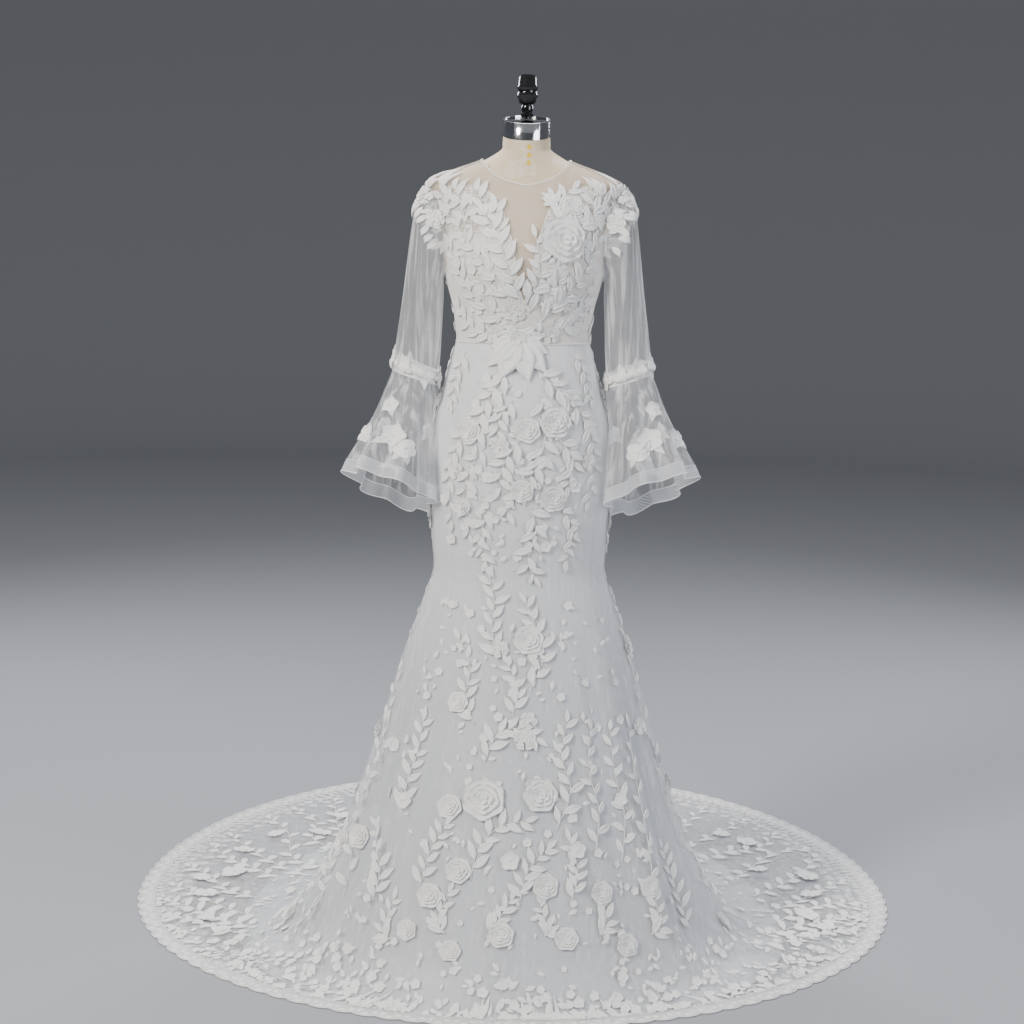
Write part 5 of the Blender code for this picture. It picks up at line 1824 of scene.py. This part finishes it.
def build_edging_lace(settings):
    """Scallop cords, small flowers in each scallop, and the large flowers of the edging."""
    rng = np.random.default_rng(settings.seed + 4)
    total = TRAIN_LENGTHS[-1]
    count = round(total / SCALLOP)
    along = np.linspace(0, total, count * 14 + 1)[:-1]
    reach = scallop_reach(along)
    cords = []
    for share, thick in ((1.0, 1.0), (0.86, 0.7), (0.0, 0.8)):
        spots = edge_face(along, reach * share)
        cords.append(cord(spots + (0, 0, 0.2 * MM), thick * MM, 5, True))
    motifs = []
    for k in range(count):
        start = SCALLOP * k
        for part, across, size in ((0.5, 0.62, 9), (0.18, 0.34, 7), (0.82, 0.34, 7)):
            place = (start + SCALLOP * part, across * EDGING_WIDTH, rng.uniform(0, 6))
            motifs.append(Motif("floret", *place, size * MM, 0.0))
        for part, turn in ((0.34, 1.2), (0.66, 1.9), (0.5, 1.57), (0.06, 1.57), (0.94, 1.57)):
            place = (start + SCALLOP * part, 0.04 * EDGING_WIDTH, -turn)
            motifs.append(Motif("small", *place, rng.uniform(16, 22) * MM, 0.0))
    shape = lace_shape(edge_face, motifs, [], 0.2 * MM, rng)
    lace = finish(corded_lace)
    add_piece("Lace_edging", joined([shape, *cords]), lace, "corded_lace")
    motifs = []
    for k in range(round(total / BIG_FLOWER_GAP)):
        place = (BIG_FLOWER_GAP * (k + 0.3), 2 * MM, rng.uniform(0, 6))
        motifs.append(Motif("flower", *place, 26 * MM, 1.4 * MM))
        for side in (-1, 1):
            spot = (place[0] + side * 28 * MM, 2 * MM, math.pi / 2 - side * 1.3)
            motifs.append(Motif("leaf", *spot, 30 * MM, MM))
    shape = lace_shape(edge_face, motifs, [], 0.6 * MM, rng)
    add_piece("Lace_edging_flowers", shape, lace, "corded_lace")


def build_sleeve_lace(settings):
    """Lace over the shoulder caps and elbow bands, and the flowers on the bells."""
    rng = np.random.default_rng(settings.seed + 5)
    arm_face = mended(arm_point, 0.05, ARM_TOP - 0.02)
    for side, sign in (("left", 1), ("right", -1)):
        motifs, stems = [], []
        for k in range(15):
            turn = math.radians(-100 + 14.5 * k + rng.uniform(-4, 4))
            level = 11.45 + rng.uniform(-0.15, 0.2)
            heading = -math.pi / 2 + rng.uniform(-0.5, 0.5)
            size = rng.uniform(0.028, 0.040)
            motifs.append(Motif("leaf", turn, level, heading, size, 0.8 * MM))
            motifs.append(Motif("leaf", turn + 0.2, level + 0.3, heading + 0.9, size * 0.8, 1.2 * MM))
        for degrees in (-70, -25, 20):
            place = (math.radians(degrees), 11.6, rng.uniform(0, 6))
            motifs.append(Motif("bud", *place, rng.uniform(0.017, 0.023), 2 * MM))
        for k in range(16):
            turn = 2 * math.pi * k / 16 + rng.uniform(-0.1, 0.1)
            level = 6.1 + rng.uniform(-0.5, 0.5)
            size = rng.uniform(0.016, 0.026)
            motifs.append(Motif("leaf", turn, level, rng.uniform(-0.6, 0.6), size, 0.8 * MM))
            if k % 2:
                motifs.append(Motif("flower", turn, level, rng.uniform(0, 6), 0.012, 1.4 * MM))
        for degrees, level, size in (
            (-78, 2.3, 0.026),
            (-100, 1.9, 0.022),
            (-55, 3.4, 0.018),
            (-15, 2.2, 0.022),
            (35, 2.8, 0.020),
            (80, 2.0, 0.022),
            (125, 3.2, 0.018),
        ):
            place = (math.radians(degrees), level, rng.uniform(0, 6))
            motifs.append(Motif("flower", *place, size, 0.8 * MM))
            for turn in (-2.2, -0.9):
                place = (math.radians(degrees), level, turn + rng.uniform(-0.3, 0.3))
                motifs.append(Motif("leaf", *place, size * 1.5, 0.3 * MM))
        points, faces = lace_shape(arm_face, motifs, stems, settings.lace_lift, rng)
        if sign < 0:
            points, faces = points * (-1, 1, 1), faces[:, ::-1]
        shape = (points, faces)
        lace = finish(corded_lace)
        node = [f"cap_lace_{side}"]
        add_piece(f"Lace_sleeve_{side}", shape, lace, "corded_lace", node)


# Add-on


class GownSettings(bpy.types.PropertyGroup):
    """What can be set for the gown's cloth and lace."""

    seed: bpy.props.IntProperty(
        name="Seed", description="Start of every random choice in the lace", default=11, min=0
    )
    lace_lift: bpy.props.FloatProperty(
        name="Lace lift",
        description="How far a motif's underside stands off the cloth",
        default=0.0012,
        min=0.0,
        max=0.005,
        unit="LENGTH",
    )


class StageSettings(bpy.types.PropertyGroup):
    """What can be set for the light round the gown."""

    light: bpy.props.FloatProperty(
        name="Light", description="Share of every lamp's power", default=1.0, min=0.0, subtype="FACTOR"
    )
    ambient: bpy.props.FloatProperty(
        name="Ambient", description="Strength of the even light all round", default=0.35, min=0.0
    )


class GOWN_OT_form(bpy.types.Operator):
    """Build the dress form with its neck ring, plate, finial, pole and foot"""

    bl_idname = "gown.form"
    bl_label = "Dress form"

    def execute(self, context):
        build_form(context.scene.gown)
        return {"FINISHED"}


class GOWN_OT_lining(bpy.types.Operator):
    """Hang the satin lining under the skirt"""

    bl_idname = "gown.lining"
    bl_label = "Lining"

    def execute(self, context):
        build_lining(context.scene.gown)
        return {"FINISHED"}


class GOWN_OT_skirt(bpy.types.Operator):
    """Hang the tulle skirt with its train"""

    bl_idname = "gown.skirt"
    bl_label = "Skirt and train"

    def execute(self, context):
        build_skirt(context.scene.gown)
        return {"FINISHED"}


class GOWN_OT_bodice(bpy.types.Operator):
    """Stretch the lace bodice and the sheer yoke over the form, and bind the neckline"""

    bl_idname = "gown.bodice"
    bl_label = "Bodice and yoke"

    def execute(self, context):
        build_bodice(context.scene.gown)
        return {"FINISHED"}


class GOWN_OT_closing(bpy.types.Operator):
    """Close the back with a placket, covered buttons and loops"""

    bl_idname = "gown.closing"
    bl_label = "Back closing"

    def execute(self, context):
        build_closing(context.scene.gown)
        return {"FINISHED"}


class GOWN_OT_sleeves(bpy.types.Operator):
    """Hang the sheer sleeves with their elbow bands, bells and braid hems"""

    bl_idname = "gown.sleeves"
    bl_label = "Sleeves"

    def execute(self, context):
        build_sleeves(context.scene.gown)
        return {"FINISHED"}


class GOWN_OT_edging(bpy.types.Operator):
    """Lay the net of the scalloped edging round the train"""

    bl_idname = "gown.edging"
    bl_label = "Edging net"

    def execute(self, context):
        build_edging(context.scene.gown)
        return {"FINISHED"}


class GOWN_OT_bodice_lace(bpy.types.Operator):
    """Sew the bodice's and hip's sprays, roses and medallion"""

    bl_idname = "gown.bodice_lace"
    bl_label = "Bodice and hip lace"

    def execute(self, context):
        build_bodice_lace(context.scene.gown)
        return {"FINISHED"}


class GOWN_OT_skirt_lace(bpy.types.Operator):
    """Sew the sprays, roses and small flowers on the front of the skirt"""

    bl_idname = "gown.skirt_lace"
    bl_label = "Skirt lace"

    def execute(self, context):
        build_skirt_lace(context.scene.gown)
        return {"FINISHED"}


class GOWN_OT_back_lace(bpy.types.Operator):
    """Sew the vines of the sides and back"""

    bl_idname = "gown.back_lace"
    bl_label = "Back lace"

    def execute(self, context):
        build_back_lace(context.scene.gown)
        return {"FINISHED"}


class GOWN_OT_train_lace(bpy.types.Operator):
    """Sew the train's vines and its border"""

    bl_idname = "gown.train_lace"
    bl_label = "Train lace"

    def execute(self, context):
        build_train_lace(context.scene.gown)
        return {"FINISHED"}


class GOWN_OT_edging_lace(bpy.types.Operator):
    """Cord the edging's scallops and set its flowers"""

    bl_idname = "gown.edging_lace"
    bl_label = "Edging lace"

    def execute(self, context):
        build_edging_lace(context.scene.gown)
        return {"FINISHED"}


class GOWN_OT_sleeve_lace(bpy.types.Operator):
    """Sew the lace of the shoulder caps, elbow bands and bells"""

    bl_idname = "gown.sleeve_lace"
    bl_label = "Sleeve lace"

    def execute(self, context):
        build_sleeve_lace(context.scene.gown)
        return {"FINISHED"}


class GOWN_OT_stage(bpy.types.Operator):
    """Set the studio paper, the lights and the camera"""

    bl_idname = "gown.stage"
    bl_label = "Stage"

    def execute(self, context):
        build_stage(context.scene.gown_stage)
        return {"FINISHED"}


OPERATORS = (
    GOWN_OT_form,
    GOWN_OT_lining,
    GOWN_OT_skirt,
    GOWN_OT_bodice,
    GOWN_OT_closing,
    GOWN_OT_sleeves,
    GOWN_OT_edging,
    GOWN_OT_bodice_lace,
    GOWN_OT_skirt_lace,
    GOWN_OT_back_lace,
    GOWN_OT_train_lace,
    GOWN_OT_edging_lace,
    GOWN_OT_sleeve_lace,
    GOWN_OT_stage,
)


class GOWN_PT_pieces(bpy.types.Panel):
    """The gown's pieces, in the order in which they are made"""

    bl_label = "Mermaid gown"
    bl_idname = "GOWN_PT_pieces"
    bl_space_type = "VIEW_3D"
    bl_region_type = "UI"
    bl_category = "Gown"

    def draw(self, context):
        column = self.layout.column()
        column.prop(context.scene.gown, "seed")
        column.prop(context.scene.gown, "lace_lift")
        column.prop(context.scene.gown_stage, "light")
        column.prop(context.scene.gown_stage, "ambient")
        for operator in OPERATORS:
            column.operator(operator.bl_idname)


CLASSES = (GownSettings, StageSettings, *OPERATORS, GOWN_PT_pieces)


def register():
    for made in CLASSES:
        bpy.utils.register_class(made)
    bpy.types.Scene.gown = bpy.props.PointerProperty(type=GownSettings)
    bpy.types.Scene.gown_stage = bpy.props.PointerProperty(type=StageSettings)


def unregister():
    del bpy.types.Scene.gown_stage
    del bpy.types.Scene.gown
    for made in reversed(CLASSES):
        bpy.utils.unregister_class(made)


def main():
    register()
    for operator in OPERATORS:
        group, name = operator.bl_idname.split(".")
        getattr(getattr(bpy.ops, group), name)()


if __name__ == "__main__":
    main()
